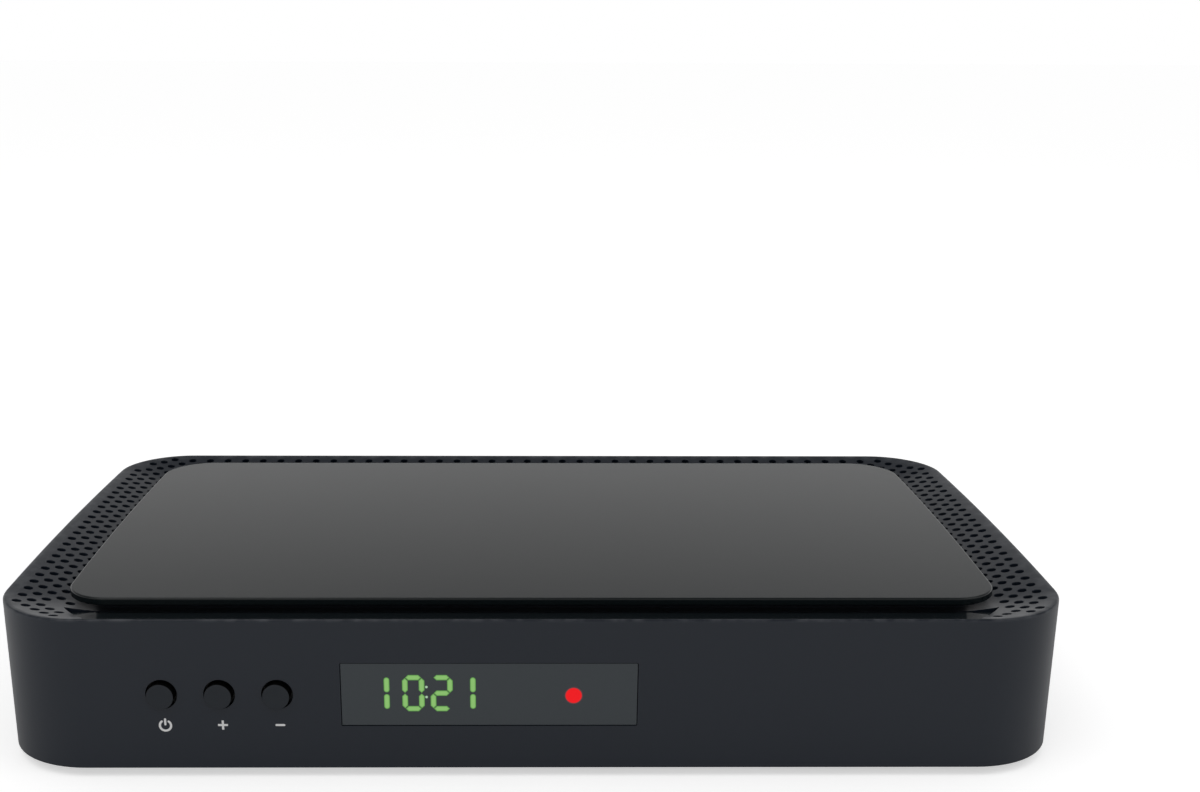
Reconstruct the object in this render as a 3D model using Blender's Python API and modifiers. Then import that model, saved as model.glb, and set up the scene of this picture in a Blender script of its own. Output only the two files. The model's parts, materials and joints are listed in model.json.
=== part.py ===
# A set-top television decoder: a moulded case with a raised gloss panel on top, a perforated
# band round it, three push buttons and a lit clock window in front, and sockets behind.
# Case frame: X runs to the right, Y from the front face to the back, Z up from the case's
# underside. The whole stands on its feet, centred on the origin. Lengths are in metres.

import math

import bmesh
import bpy
from mathutils import Matrix, Vector

# Case
CASE_WIDTH = 0.2200
CASE_DEPTH = 0.1271
CASE_HEIGHT = 0.0321
FRONT_CORNER_RADIUS = 0.0180
REAR_CORNER_RADIUS = 0.0158
SIDE_BOW = 0.00135
WALL = 0.0020
ROOF = 0.0018
RIM_ROUND = 0.0006
LIP_WIDTH = 0.0012
BOTTOM_ROUND = 0.0004
BAND_DROP = 0.0032

# Fits shared by all pieces
SEAT_GAP = 0.0003
RUNNING_GAP = 0.0002
JOIN_OVERLAP = 0.0004
CUT_OVERRUN = 0.0010
MERGE_DISTANCE = 0.00001

# Perforations in the sloping band
VENT_RADIUS = 0.00098
VENT_COLUMN_STEP = 0.002382
VENT_ROW_STEP = 0.002104
VENT_REAR_INSET = 0.0038
VENT_SIDE_LIMIT = 0.0029
VENT_END_LIMIT = 0.0022
VENT_FRONT_RADIUS = 0.0145
VENT_REAR_RADIUS = 0.0130
VENT_TRIM_MARGIN = 0.0008

# Gloss panel on top
PANEL_SIDE_INSET = 0.0131
PANEL_END_INSET = 0.0105
PANEL_FRONT_RADIUS = 0.0092
PANEL_REAR_RADIUS = 0.0130
PANEL_OVERHANG = 0.0027
PANEL_PROUD = 0.0007
PANEL_THICKNESS = 0.0016
PANEL_ROUND = 0.0004
PEG_RADIUS = 0.0013
PEG_LENGTH = 0.0022
PEG_INSET = 0.0400

# Gloss strip in the front of the band
TRIM_FRONT_INSET = 0.0008
TRIM_END_INSET = 0.0217
TRIM_SPLAY = 0.0080
TRIM_THICKNESS = 0.0007

# Base tray
TRAY_FLOOR = 0.0020
TRAY_LIP_HEIGHT = 0.0050
TRAY_LIP_WIDTH = 0.0015
FLOOR_SLOT_WIDTH = 0.0024
FLOOR_SLOT_LENGTH = 0.0320
FLOOR_SLOT_PITCH = 0.0075

# Rubber feet
FOOT_RADIUS = 0.0060
FOOT_PROUD = 0.0020
FOOT_SUNK = 0.0007
FOOT_ROUND = 0.0005
FOOT_SIDE_INSET = 0.0320
FOOT_END_INSET = 0.0180

# Screws that hold the two halves of the case
CASE_SCREW_SIDE_INSET = 0.0170
CASE_SCREW_END_INSET = 0.0190
CASE_BOSS_RADIUS = 0.00325
CASE_PILLAR_RADIUS = 0.0048
CASE_SCREW_HEAD_RADIUS = 0.0030
CASE_SCREW_HEAD_HEIGHT = 0.0016
CASE_SCREW_SHANK_RADIUS = 0.0011
CASE_SCREW_BITE = 0.0080
CASE_HEAD_DEPTH = 0.0024

# Front wall: buttons
BUTTON_SIDE_INSET = 0.03575
BUTTON_PITCH = 0.01155
BUTTON_RADIUS = 0.0027
BUTTON_HOLE_CLEARANCE = 0.00045
BUTTON_PROUD = 0.0009
BUTTON_ROUND = 0.0004
BUTTON_FLANGE_WIDTH = 0.0013
BUTTON_FLANGE_THICKNESS = 0.0010
BUTTON_STEM_RADIUS = 0.0015
BUTTON_FREE_PLAY = 0.00035
BUTTON_HEIGHT_SHARE = 0.504

# Front wall: display window
WINDOW_BUTTON_GAP = 0.01275
WINDOW_WIDTH = 0.0593
WINDOW_HEIGHT = 0.0134
WINDOW_RECESS = 0.0001
WINDOW_FLANGE_WIDTH = 0.0018
WINDOW_FLANGE_THICKNESS = 0.0008
WINDOW_HEIGHT_SHARE = 0.502

# Front circuit board and what it carries
FRONT_BOARD_SETBACK = 0.0110
BOARD_THICKNESS = 0.0016
FRONT_BOARD_EDGE_GAP = 0.0006
FRONT_BOSS_RADIUS = 0.0024
FRONT_BOSS_SPACING = 0.0010
FRONT_BOARD_MARGIN = 0.0010
SWITCH_SIZE = 0.0060
SWITCH_DEPTH = 0.0035
PLUNGER_RADIUS = 0.0017
PLUNGER_PROUD = 0.0015
PLUNGER_SUNK = 0.0013
PLUNGER_ROOM = 0.0006
MASK_THICKNESS = 0.0008
DIGITS_WIDTH = 0.0230
DIGITS_HEIGHT = 0.0096
DISPLAY_WIDTH = 0.0300
DISPLAY_HEIGHT = 0.0140
DISPLAY_OFFSET = 0.0177
LAMP_RADIUS = 0.0015
LAMP_FLANGE_RADIUS = 0.0019
LAMP_FLANGE_THICKNESS = 0.0010
LAMP_SPOT_RADIUS = 0.0018
LAMP_OFFSET = 0.01285
RECEIVER_OFFSET = 0.0060
RECEIVER_WIDTH = 0.0056
RECEIVER_HEIGHT = 0.0070
RECEIVER_DEPTH = 0.0035
RECEIVER_LENS_RADIUS = 0.0021

# Ribbon cable and its two headers
HEADER_WIDTH = 0.0150
HEADER_HEIGHT = 0.0050
HEADER_DEPTH = 0.0045
RIBBON_WIDTH = 0.0120
RIBBON_THICKNESS = 0.0008
RIBBON_RISE = 0.0110
RIBBON_DROP = 0.0012

# Main circuit board
BOARD_SIDE_INSET = 0.0220
BOARD_FRONT_INSET = 0.0370
BOARD_REAR_GAP = 0.0005
STANDOFF_RADIUS = 0.0030
STANDOFF_HEIGHT = 0.0040
STANDOFF_EDGE_INSET = 0.0050
STANDOFF_REAR_INSET = 0.0400
BOARD_SCREW_HEAD_RADIUS = 0.0025
BOARD_SCREW_HEAD_HEIGHT = 0.0014
BOARD_SCREW_SHANK_RADIUS = 0.0010
BOARD_SCREW_BITE = 0.0032

# Pieces on the main board
PROCESSOR_SIZE = 0.0190
PROCESSOR_HEIGHT = 0.0014
HEATSINK_SIZE = 0.0240
HEATSINK_BASE = 0.0020
HEATSINK_HEIGHT = 0.0080
HEATSINK_FIN = 0.0012
HEATSINK_FINS = 6
MEMORY_WIDTH = 0.0090
MEMORY_LENGTH = 0.0130
MEMORY_HEIGHT = 0.0012
FLASH_WIDTH = 0.0060
FLASH_LENGTH = 0.0052
FLASH_HEIGHT = 0.0018
CRYSTAL_LENGTH = 0.0110
CRYSTAL_WIDTH = 0.0045
CRYSTAL_HEIGHT = 0.0035
CAPACITOR_RADIUS = 0.0040
CAPACITOR_HEIGHT = 0.0110
CAPACITOR_ROUND = 0.0005
INDUCTOR_SIZE = 0.0100
INDUCTOR_HEIGHT = 0.0050
PROCESSOR_SHARES = (0.50, 0.42)
MEMORY_SHARES = (0.64, 0.42)
FLASH_SHARES = (0.73, 0.30)
CRYSTAL_SHARES = (0.36, 0.32)
INDUCTOR_SHARES = (0.77, 0.50)
CAPACITOR_SHARES = ((0.88, 0.50), (0.88, 0.26))

# Rear panel and the row of sockets
REAR_OPENING_SIDE_INSET = 0.0220
REAR_OPENING_TOP_INSET = 0.0061
REAR_PANEL_THICKNESS = 0.0012
REAR_PANEL_OVERLAP = 0.0020
TUNER_DEPTH = 0.0320
TUNER_HEIGHT = 0.0124
TUNER_ROUND = 0.0006
TUNER_OVERHANG_SHARE = 0.35
SATELLITE_RADIUS = 0.0047
SATELLITE_REACH = 0.0090
SATELLITE_CHAMFER = 0.0006
SATELLITE_CORE_RADIUS = 0.0030
SATELLITE_CORE_DEPTH = 0.0005
SATELLITE_PIN_RADIUS = 0.0007
SATELLITE_PIN_DEPTH = 0.0060
SATELLITE_NUT_RADIUS = 0.0064
SATELLITE_NUT_HEIGHT = 0.0022
AERIAL_RADIUS = 0.0061
AERIAL_REACH = 0.0070
AERIAL_BORE_RADIUS = 0.0048
AERIAL_BORE_DEPTH = 0.0080
AERIAL_CONTACT_RADIUS = 0.0020
AERIAL_CONTACT_BORE = 0.0012
AERIAL_OUT_RADIUS = 0.0047
AERIAL_OUT_WALL = 0.0007
AERIAL_OUT_PIN_RADIUS = 0.0012
HDMI_WIDTH = 0.0150
HDMI_HEIGHT = 0.0056
HDMI_DEPTH = 0.0115
HDMI_SHELL = 0.0006
HDMI_CHAMFER = 0.0018
HDMI_MOUTH_DEPTH = 0.0085
HDMI_TONGUE_WIDTH = 0.0110
HDMI_TONGUE_HEIGHT = 0.0011
ETHERNET_WIDTH = 0.0160
ETHERNET_HEIGHT = 0.0135
ETHERNET_DEPTH = 0.0210
ETHERNET_MOUTH_WIDTH = 0.0120
ETHERNET_MOUTH_HEIGHT = 0.0070
ETHERNET_MOUTH_DEPTH = 0.0130
ETHERNET_MOUTH_SILL = 0.0034
ETHERNET_LATCH_WIDTH = 0.0062
ETHERNET_LATCH_HEIGHT = 0.0018
USB_WIDTH = 0.0132
USB_HEIGHT = 0.0058
USB_DEPTH = 0.0140
USB_SHELL = 0.0005
USB_MOUTH_DEPTH = 0.0090
USB_TONGUE_WIDTH = 0.0110
USB_TONGUE_HEIGHT = 0.0019
USB_TONGUE_DROP = 0.0004
COAX_BLOCK_WIDTH = 0.0100
COAX_BLOCK_DEPTH = 0.0100
COAX_RADIUS = 0.00415
COAX_REACH = 0.0065
COAX_CORE_RADIUS = 0.0032
COAX_CORE_DEPTH = 0.0004
COAX_PIN_RADIUS = 0.0017
COAX_PIN_DEPTH = 0.0080
AV_BLOCK_WIDTH = 0.0080
AV_BLOCK_HEIGHT = 0.0076
AV_BLOCK_DEPTH = 0.0110
AV_NOSE_RADIUS = 0.0030
AV_BORE_RADIUS = 0.0018
AV_BORE_DEPTH = 0.0100
POWER_BLOCK_WIDTH = 0.0092
POWER_BLOCK_HEIGHT = 0.0108
POWER_BLOCK_DEPTH = 0.0140
POWER_BORE_RADIUS = 0.0031
POWER_BORE_DEPTH = 0.0095
POWER_PIN_RADIUS = 0.0010
SOCKET_FACE_SETBACK = 0.0012
BLOCK_PANEL_GAP = 0.0004

# Facets of round shapes
CORNER_STEPS = 6
SIDE_STEPS = 4
VENT_SIDES = 6
ROUND_SIDES = 16
SMALL_SIDES = 10
SCREW_SIDES = 8
NUT_SIDES = 6
RIBBON_STEPS = 12
DOME_STEPS = 4

QUARTER_TURN = math.pi / 2
SMOOTH_ANGLE = math.radians(35)

# Heights, depths and places that follow from the sizes above
half_width = CASE_WIDTH / 2
roof_under = CASE_HEIGHT - BAND_DROP - ROOF
panel_under = CASE_HEIGHT + PANEL_PROUD - PANEL_THICKNESS
platform_top = panel_under - SEAT_GAP
platform_inset = PANEL_END_INSET + PANEL_OVERHANG
button_z = CASE_HEIGHT * BUTTON_HEIGHT_SHARE
window_z = CASE_HEIGHT * WINDOW_HEIGHT_SHARE
button_xs = [-half_width + BUTTON_SIDE_INSET + BUTTON_PITCH * i for i in range(3)]
window_left = button_xs[-1] + WINDOW_BUTTON_GAP
window_right = window_left + WINDOW_WIDTH
window_x = (window_left + window_right) / 2
front_board_face = FRONT_BOARD_SETBACK
front_board_back = front_board_face + BOARD_THICKNESS
front_parts_back = front_board_face - SEAT_GAP
window_flange_front = WALL + SEAT_GAP
mask_front = window_flange_front + WINDOW_FLANGE_THICKNESS + SEAT_GAP
front_parts_front = mask_front + MASK_THICKNESS + SEAT_GAP
switch_front = front_parts_back - SWITCH_DEPTH
plunger_tip = switch_front - PLUNGER_PROUD
tray_edge = WALL + SEAT_GAP
board_under = TRAY_FLOOR + STANDOFF_HEIGHT + SEAT_GAP
board_top = board_under + BOARD_THICKNESS
part_floor = board_top + SEAT_GAP
rear_panel_back = CASE_DEPTH - WALL - SEAT_GAP
rear_panel_front = rear_panel_back - REAR_PANEL_THICKNESS
board_half = half_width - BOARD_SIDE_INSET
board_rear = rear_panel_front - BOARD_REAR_GAP
board_front = BOARD_FRONT_INSET
opening_half = half_width - REAR_OPENING_SIDE_INSET
opening_top = CASE_HEIGHT - REAR_OPENING_TOP_INSET
tuner_z = part_floor + TUNER_HEIGHT / 2
socket_face = CASE_DEPTH - SOCKET_FACE_SETBACK
rear_reach = max(SATELLITE_REACH, AERIAL_REACH, COAX_REACH)
centre_y = (CASE_DEPTH + rear_reach - BUTTON_PROUD) / 2


# Scene, collections and finishes

for old in list(bpy.data.objects):
    bpy.data.objects.remove(old, do_unlink=True)

decoder_parts = bpy.data.collections.new("decoder_box")
cutting_tools = bpy.data.collections.new("cutters")
for collection in (decoder_parts, cutting_tools):
    bpy.context.scene.collection.children.link(collection)

case_origin = bpy.data.objects.new("case_origin", None)
case_origin.location = (0, -centre_y, FOOT_PROUD)
decoder_parts.objects.link(case_origin)


def finish(name, colour, roughness, metallic=0.0):
    material = bpy.data.materials.new(name)
    material.use_nodes = True
    shader = material.node_tree.nodes["Principled BSDF"]
    shader.inputs["Base Color"].default_value = (*colour, 1.0)
    shader.inputs["Roughness"].default_value = roughness
    shader.inputs["Metallic"].default_value = metallic
    return material


SHELL = finish("charcoal plastic", (0.024, 0.027, 0.032), 0.45)
GLOSS = finish("black gloss plastic", (0.010, 0.010, 0.011), 0.12)
SMOKE = finish("smoked window", (0.040, 0.045, 0.050), 0.20)
KEY = finish("black key plastic", (0.008, 0.008, 0.009), 0.35)
RUBBER = finish("black rubber", (0.015, 0.015, 0.015), 0.80)
SHEET_STEEL = finish("black painted steel", (0.018, 0.018, 0.019), 0.50)
TINPLATE = finish("tinplate", (0.62, 0.62, 0.60), 0.35, 1.0)
NICKEL = finish("nickel plate", (0.72, 0.70, 0.66), 0.25, 1.0)
ALUMINIUM = finish("bare aluminium", (0.66, 0.67, 0.68), 0.40, 1.0)
ZINC = finish("zinc plated steel", (0.55, 0.55, 0.54), 0.38, 1.0)
BOARD = finish("green circuit board", (0.015, 0.090, 0.045), 0.50)
CHIP = finish("black chip resin", (0.012, 0.012, 0.013), 0.60)
SOCKET_PLASTIC = finish("black socket plastic", (0.014, 0.014, 0.015), 0.50)
HEADER_PLASTIC = finish("cream header plastic", (0.70, 0.66, 0.55), 0.50)
RIBBON = finish("grey ribbon cable", (0.30, 0.31, 0.32), 0.55)
FOAM = finish("black foam", (0.010, 0.010, 0.010), 0.90)
RED_LENS = finish("red lamp", (0.75, 0.03, 0.03), 0.30)
SLEEVE = finish("capacitor sleeve", (0.020, 0.030, 0.080), 0.40)


# Building blocks

def place(name, data, where, turn, material, tool):
    obj = bpy.data.objects.new(name, data)
    (cutting_tools if tool else decoder_parts).objects.link(obj)
    obj.parent = case_origin
    obj.location = where
    obj.rotation_euler = turn
    if tool:
        obj.hide_render = True
        obj.display_type = "WIRE"
    elif material:
        data.materials.append(material)
    return obj


def mesh_from(name, bm):
    mesh = bpy.data.meshes.new(name)
    bm.to_mesh(mesh)
    bm.free()
    mesh.shade_smooth()
    mesh.set_sharp_from_angle(angle=SMOOTH_ANGLE)
    return mesh


def box(name, low, high, material=None, tool=False, rounding=0):
    bm = bmesh.new()
    bmesh.ops.create_cube(bm, size=1)
    bmesh.ops.scale(bm, vec=[b - a for a, b in zip(low, high)], verts=bm.verts)
    middle = [(a + b) / 2 for a, b in zip(low, high)]
    obj = place(name, mesh_from(name, bm), middle, (0, 0, 0), material, tool)
    if rounding:
        bevel = obj.modifiers.new("rounding", "BEVEL")
        bevel.width = rounding
        bevel.segments = 1
    return obj


def boxes(name, corners):
    bm = bmesh.new()
    for low, high in corners:
        made = bmesh.ops.create_cube(bm, size=1)["verts"]
        bmesh.ops.scale(bm, vec=[b - a for a, b in zip(low, high)], verts=made)
        bmesh.ops.translate(bm, vec=[(a + b) / 2 for a, b in zip(low, high)], verts=made)
    return place(name, mesh_from(name, bm), (0, 0, 0), (0, 0, 0), None, True)


def rods(name, ends, radius, sides, material=None, tool=True):
    # One straight round bar between each pair of ends, all in one mesh
    bm = bmesh.new()
    for start, stop in ends:
        run = Vector(stop) - Vector(start)
        middle = (Vector(stop) + Vector(start)) / 2
        turn = run.to_track_quat("Z", "Y").to_matrix().to_4x4()
        bmesh.ops.create_cone(bm, cap_ends=True, segments=sides, radius1=radius, radius2=radius,
                              depth=run.length, matrix=Matrix.Translation(middle) @ turn)
    return place(name, mesh_from(name, bm), (0, 0, 0), (0, 0, 0), material, tool)


def upright(places, low, high):
    # Ends of a vertical bar at each place of the plan
    return [((x, y, low), (x, y, high)) for x, y in places]


def lengthwise(xs, z, front, back):
    # Ends of a bar that runs from front to back, for each distance across
    return [((x, front, z), (x, back, z)) for x in xs]


def turned(name, profile, sides, where, turn=(0, 0, 0), material=None, tool=False):
    # The profile is (radius, height) pairs from the axis at the top, down the outside, to the axis
    mesh = bpy.data.meshes.new(name)
    edges = [(i, i + 1) for i in range(len(profile) - 1)]
    mesh.from_pydata([(radius, 0, height) for radius, height in profile], edges, [])
    obj = place(name, mesh, where, turn, material, tool)
    screw = obj.modifiers.new("turning", "SCREW")
    screw.steps = sides
    screw.render_steps = sides
    screw.use_merge_vertices = True
    screw.merge_threshold = MERGE_DISTANCE
    return obj


def extruded(name, outline, length, where, turn=(0, 0, 0), material=None, tool=False):
    # A flat closed outline, filled and given a thickness, then welded into one mesh
    curve = bpy.data.curves.new(name, "CURVE")
    curve.dimensions = "2D"
    curve.fill_mode = "BOTH"
    curve.extrude = length / 2
    spline = curve.splines.new("POLY")
    spline.points.add(len(outline) - 1)
    for point, (x, y) in zip(spline.points, outline):
        point.co = (x, y, 0, 1)
    spline.use_cyclic_u = True
    guide = bpy.data.objects.new(name + "_outline", curve)
    decoder_parts.objects.link(guide)
    bpy.context.view_layer.update()
    mesh = bpy.data.meshes.new_from_object(guide.evaluated_get(bpy.context.evaluated_depsgraph_get()))
    bpy.data.objects.remove(guide, do_unlink=True)
    bm = bmesh.new()
    bm.from_mesh(mesh)
    bpy.data.meshes.remove(mesh)
    bmesh.ops.remove_doubles(bm, verts=bm.verts, dist=MERGE_DISTANCE)
    bmesh.ops.recalc_face_normals(bm, faces=bm.faces)
    return place(name, mesh_from(name, bm), where, turn, material, tool)


def lofted(name, rings, material=None, tool=False):
    # Closed skin through rings of equal length, capped at both ends
    bm = bmesh.new()
    loops = [[bm.verts.new((x, y, z)) for x, y in outline] for outline, z in rings]
    for lower, upper in zip(loops, loops[1:]):
        for i in range(len(lower)):
            bm.faces.new((lower[i - 1], lower[i], upper[i], upper[i - 1]))
    bm.faces.new(loops[0])
    bm.faces.new(loops[-1])
    bmesh.ops.recalc_face_normals(bm, faces=bm.faces)
    return place(name, mesh_from(name, bm), (0, 0, 0), (0, 0, 0), material, tool)


def combine(target, tool, operation):
    boolean = target.modifiers.new(tool.name, "BOOLEAN")
    boolean.operation = operation
    boolean.object = tool
    boolean.solver = "EXACT"


def cut(target, tool):
    combine(target, tool, "DIFFERENCE")


def join(target, tool):
    combine(target, tool, "UNION")


# Shapes that several pieces follow

def plan(sizes):
    # Outline seen from above: four rounded corners and slightly bowed sides. The sizes are how
    # far the sides and the ends are drawn in, and the corner radii in front and behind.
    side_inset, end_inset, front_radius, rear_radius = sizes
    half = half_width - SIDE_BOW - side_inset
    low = end_inset
    high = CASE_DEPTH - end_inset
    corners = (
        (-half + front_radius, low + front_radius, front_radius, 2),
        (half - front_radius, low + front_radius, front_radius, 3),
        (half - rear_radius, high - rear_radius, rear_radius, 0),
        (-half + rear_radius, high - rear_radius, rear_radius, 1),
    )
    side_start = low + front_radius
    side_run = high - rear_radius - side_start
    points = []
    for x, y, radius, quadrant in corners:
        for step in range(CORNER_STEPS + 1):
            angle = QUARTER_TURN * (quadrant + step / CORNER_STEPS)
            points.append((x + radius * math.cos(angle), y + radius * math.sin(angle)))
        if quadrant in (1, 3):
            side = half if quadrant == 3 else -half
            for step in range(1, SIDE_STEPS):
                share = step / SIDE_STEPS if quadrant == 3 else 1 - step / SIDE_STEPS
                points.append((side, side_start + side_run * share))
    return [(x + math.copysign(side_bulge(y), x), y) for x, y in points]


def side_bulge(y):
    share = y / CASE_DEPTH
    return SIDE_BOW * 4 * share * (1 - share)


def depth_inside(sizes, x, y):
    # How far a point lies inside such an outline, negative outside it
    side_inset, end_inset, front_radius, rear_radius = sizes
    to_side = half_width - SIDE_BOW + side_bulge(y) - side_inset - abs(x)
    to_front = y - end_inset
    to_rear = CASE_DEPTH - end_inset - y
    for to_end, radius in ((to_front, front_radius), (to_rear, rear_radius)):
        if to_side < radius and to_end < radius:
            return radius - math.hypot(radius - to_side, radius - to_end)
    return min(to_side, to_front, to_rear)


def case_sizes(inset):
    return inset, inset, FRONT_CORNER_RADIUS - inset, REAR_CORNER_RADIUS - inset


def panel_sizes(inset):
    return (PANEL_SIDE_INSET + inset, PANEL_END_INSET + inset, PANEL_FRONT_RADIUS - inset,
            PANEL_REAR_RADIUS - inset)


def trim_slope(y):
    # Height of the gloss strip's face at a distance behind the case's front
    return CASE_HEIGHT - BAND_DROP * (y - TRIM_FRONT_INSET) / (platform_inset - TRIM_FRONT_INSET)


def trim_reach(y):
    # Half the strip's length, which grows towards the back
    return half_width - TRIM_END_INSET + TRIM_SPLAY * y / platform_inset


def case_screw_places():
    x = half_width - CASE_SCREW_SIDE_INSET
    return [(side * x, y) for y in (CASE_SCREW_END_INSET, CASE_DEPTH - CASE_SCREW_END_INSET)
            for side in (-1, 1)]


def standoff_places():
    x = board_half - STANDOFF_EDGE_INSET
    return [(side * x, y) for y in (board_front + STANDOFF_EDGE_INSET, board_rear - STANDOFF_REAR_INSET)
            for side in (-1, 1)]


def foot_places():
    x = half_width - FOOT_SIDE_INSET
    return [(side * x, y) for y in (FOOT_END_INSET, CASE_DEPTH - FOOT_END_INSET) for side in (-1, 1)]


def peg_places():
    x = half_width - PEG_INSET
    return [(side * x, y) for y in (PEG_INSET, CASE_DEPTH - PEG_INSET) for side in (-1, 1)]


def front_boss_xs():
    flange = BUTTON_RADIUS + BUTTON_FLANGE_WIDTH
    left = button_xs[0] - flange - FRONT_BOSS_SPACING - FRONT_BOSS_RADIUS
    right = window_right + WINDOW_FLANGE_WIDTH + FRONT_BOSS_SPACING + FRONT_BOSS_RADIUS
    return left, right


def trim_slab(name, front, rear, grown, above, below, material=None, tool=False):
    # Slab that follows the strip's slope, longer than the strip by grown at each end
    bm = bmesh.new()
    loops = []
    for offset in (-below, above):
        corners = [(side * (trim_reach(y) + grown), y)
                   for side, y in ((-1, front), (1, front), (1, rear), (-1, rear))]
        loops.append([bm.verts.new((x, y, trim_slope(y) + offset)) for x, y in corners])
    for i in range(4):
        bm.faces.new((loops[0][i - 1], loops[0][i], loops[1][i], loops[1][i - 1]))
    bm.faces.new(loops[0])
    bm.faces.new(loops[1])
    bmesh.ops.recalc_face_normals(bm, faces=bm.faces)
    return place(name, mesh_from(name, bm), (0, 0, 0), (0, 0, 0), material, tool)


# Turns that bring a flat outline, or a turned piece's axis, along one of the case's axes
ALONG_X = (QUARTER_TURN, 0, QUARTER_TURN)
TOWARDS_FRONT = (QUARTER_TURN, 0, 0)
TOWARDS_BACK = (-QUARTER_TURN, 0, 0)


# Case pieces

def make_upper_shell():
    inner_band = CASE_HEIGHT - ROOF - BAND_DROP * (WALL - LIP_WIDTH) / (platform_inset - LIP_WIDTH)
    soft = RIM_ROUND * (1 - math.sqrt(0.5))
    platform = plan(panel_sizes(PANEL_OVERHANG))
    shell = lofted("upper_shell", [
        (platform, platform_top),
        (platform, CASE_HEIGHT - BAND_DROP),
        (plan(case_sizes(LIP_WIDTH)), CASE_HEIGHT),
        (plan(case_sizes(RIM_ROUND)), CASE_HEIGHT),
        (plan(case_sizes(soft)), CASE_HEIGHT - soft),
        (plan(case_sizes(0)), CASE_HEIGHT - RIM_ROUND),
        (plan(case_sizes(0)), BOTTOM_ROUND),
        (plan(case_sizes(BOTTOM_ROUND)), 0),
        (plan(case_sizes(WALL)), 0),
        (plan(case_sizes(WALL)), inner_band),
        (platform, roof_under),
    ], SHELL)
    boss_foot = TRAY_LIP_HEIGHT + SEAT_GAP
    boss_ends = upright(case_screw_places(), boss_foot, roof_under + ROOF / 2)
    join(shell, rods("case_bosses", boss_ends, CASE_BOSS_RADIUS, SMALL_SIDES))
    front_ends = lengthwise(front_boss_xs(), button_z, WALL - JOIN_OVERLAP, front_parts_back)
    join(shell, rods("front_board_bosses", front_ends, FRONT_BOSS_RADIUS, SMALL_SIDES))
    bore_top = boss_foot + CASE_SCREW_BITE + CUT_OVERRUN
    bore_ends = upright(case_screw_places(), boss_foot - CUT_OVERRUN, bore_top)
    cut(shell, rods("case_screw_bores", bore_ends, CASE_SCREW_SHANK_RADIUS + RUNNING_GAP, SCREW_SIDES))
    front_bore_start = front_parts_back - BOARD_SCREW_BITE - CUT_OVERRUN
    front_bore_ends = lengthwise(front_boss_xs(), button_z, front_bore_start, front_parts_back + CUT_OVERRUN)
    cut(shell, rods("front_screw_bores", front_bore_ends, BOARD_SCREW_SHANK_RADIUS + RUNNING_GAP,
                    SCREW_SIDES))
    hole_ends = lengthwise(button_xs, button_z, -CUT_OVERRUN, WALL + CUT_OVERRUN)
    cut(shell, rods("button_holes", hole_ends, BUTTON_RADIUS + BUTTON_HOLE_CLEARANCE, ROUND_SIDES))
    window_low = (window_left - SEAT_GAP, -CUT_OVERRUN, window_z - WINDOW_HEIGHT / 2 - SEAT_GAP)
    window_high = (window_right + SEAT_GAP, WALL + CUT_OVERRUN, window_z + WINDOW_HEIGHT / 2 + SEAT_GAP)
    cut(shell, box("window_aperture", window_low, window_high, tool=True))
    rear_low = (-opening_half, CASE_DEPTH - WALL - CUT_OVERRUN, -CUT_OVERRUN)
    rear_high = (opening_half, CASE_DEPTH + CUT_OVERRUN, opening_top)
    cut(shell, box("rear_opening", rear_low, rear_high, tool=True))
    cut(shell, trim_slab("trim_pocket", TRIM_FRONT_INSET, platform_inset - SEAT_GAP, SEAT_GAP, CUT_OVERRUN,
                         TRIM_THICKNESS + SEAT_GAP, tool=True))
    peg_ends = upright(peg_places(), roof_under - CUT_OVERRUN, platform_top + CUT_OVERRUN)
    cut(shell, rods("peg_holes", peg_ends, PEG_RADIUS + SEAT_GAP, SCREW_SIDES))
    vent_ends = upright(vent_places(), roof_under - CUT_OVERRUN, CASE_HEIGHT + CUT_OVERRUN)
    cut(shell, rods("vent_holes", vent_ends, VENT_RADIUS, VENT_SIDES))


def vent_places():
    # A staggered grid that bows with the sides, kept where the sloping band lies open
    columns = int(half_width / VENT_COLUMN_STEP)
    rows = int(CASE_DEPTH / VENT_ROW_STEP)
    limit = (VENT_SIDE_LIMIT, VENT_END_LIMIT, VENT_FRONT_RADIUS, VENT_REAR_RADIUS)
    places = []
    for column in range(-columns, columns + 1):
        for row in range(rows):
            if (column + row) % 2 == 0:
                continue
            y = CASE_DEPTH - VENT_REAR_INSET - row * VENT_ROW_STEP
            x = column * VENT_COLUMN_STEP * (1 + side_bulge(y) / half_width)
            clear = abs(x) - trim_reach(y) - VENT_RADIUS - VENT_TRIM_MARGIN
            behind_trim = y < platform_inset + VENT_RADIUS and clear < 0
            on_band = depth_inside(limit, x, y) >= 0
            under_panel = depth_inside(panel_sizes(-VENT_RADIUS / 2), x, y) > 0
            if on_band and not under_panel and not behind_trim:
                places.append((x, y))
    return places


def make_top_panel():
    top = panel_under + PANEL_THICKNESS
    soft = PANEL_ROUND * (1 - math.sqrt(0.5))
    panel = lofted("top_panel", [
        (plan(panel_sizes(0)), panel_under),
        (plan(panel_sizes(0)), top - PANEL_ROUND),
        (plan(panel_sizes(soft)), top - soft),
        (plan(panel_sizes(PANEL_ROUND)), top),
    ], GLOSS)
    peg_ends = upright(peg_places(), panel_under - PEG_LENGTH, panel_under + JOIN_OVERLAP)
    join(panel, rods("panel_pegs", peg_ends, PEG_RADIUS, SCREW_SIDES))


def make_front_trim():
    trim_slab("front_trim_strip", TRIM_FRONT_INSET + SEAT_GAP, platform_inset - 2 * SEAT_GAP, 0, 0,
              TRIM_THICKNESS, GLOSS)


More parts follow.
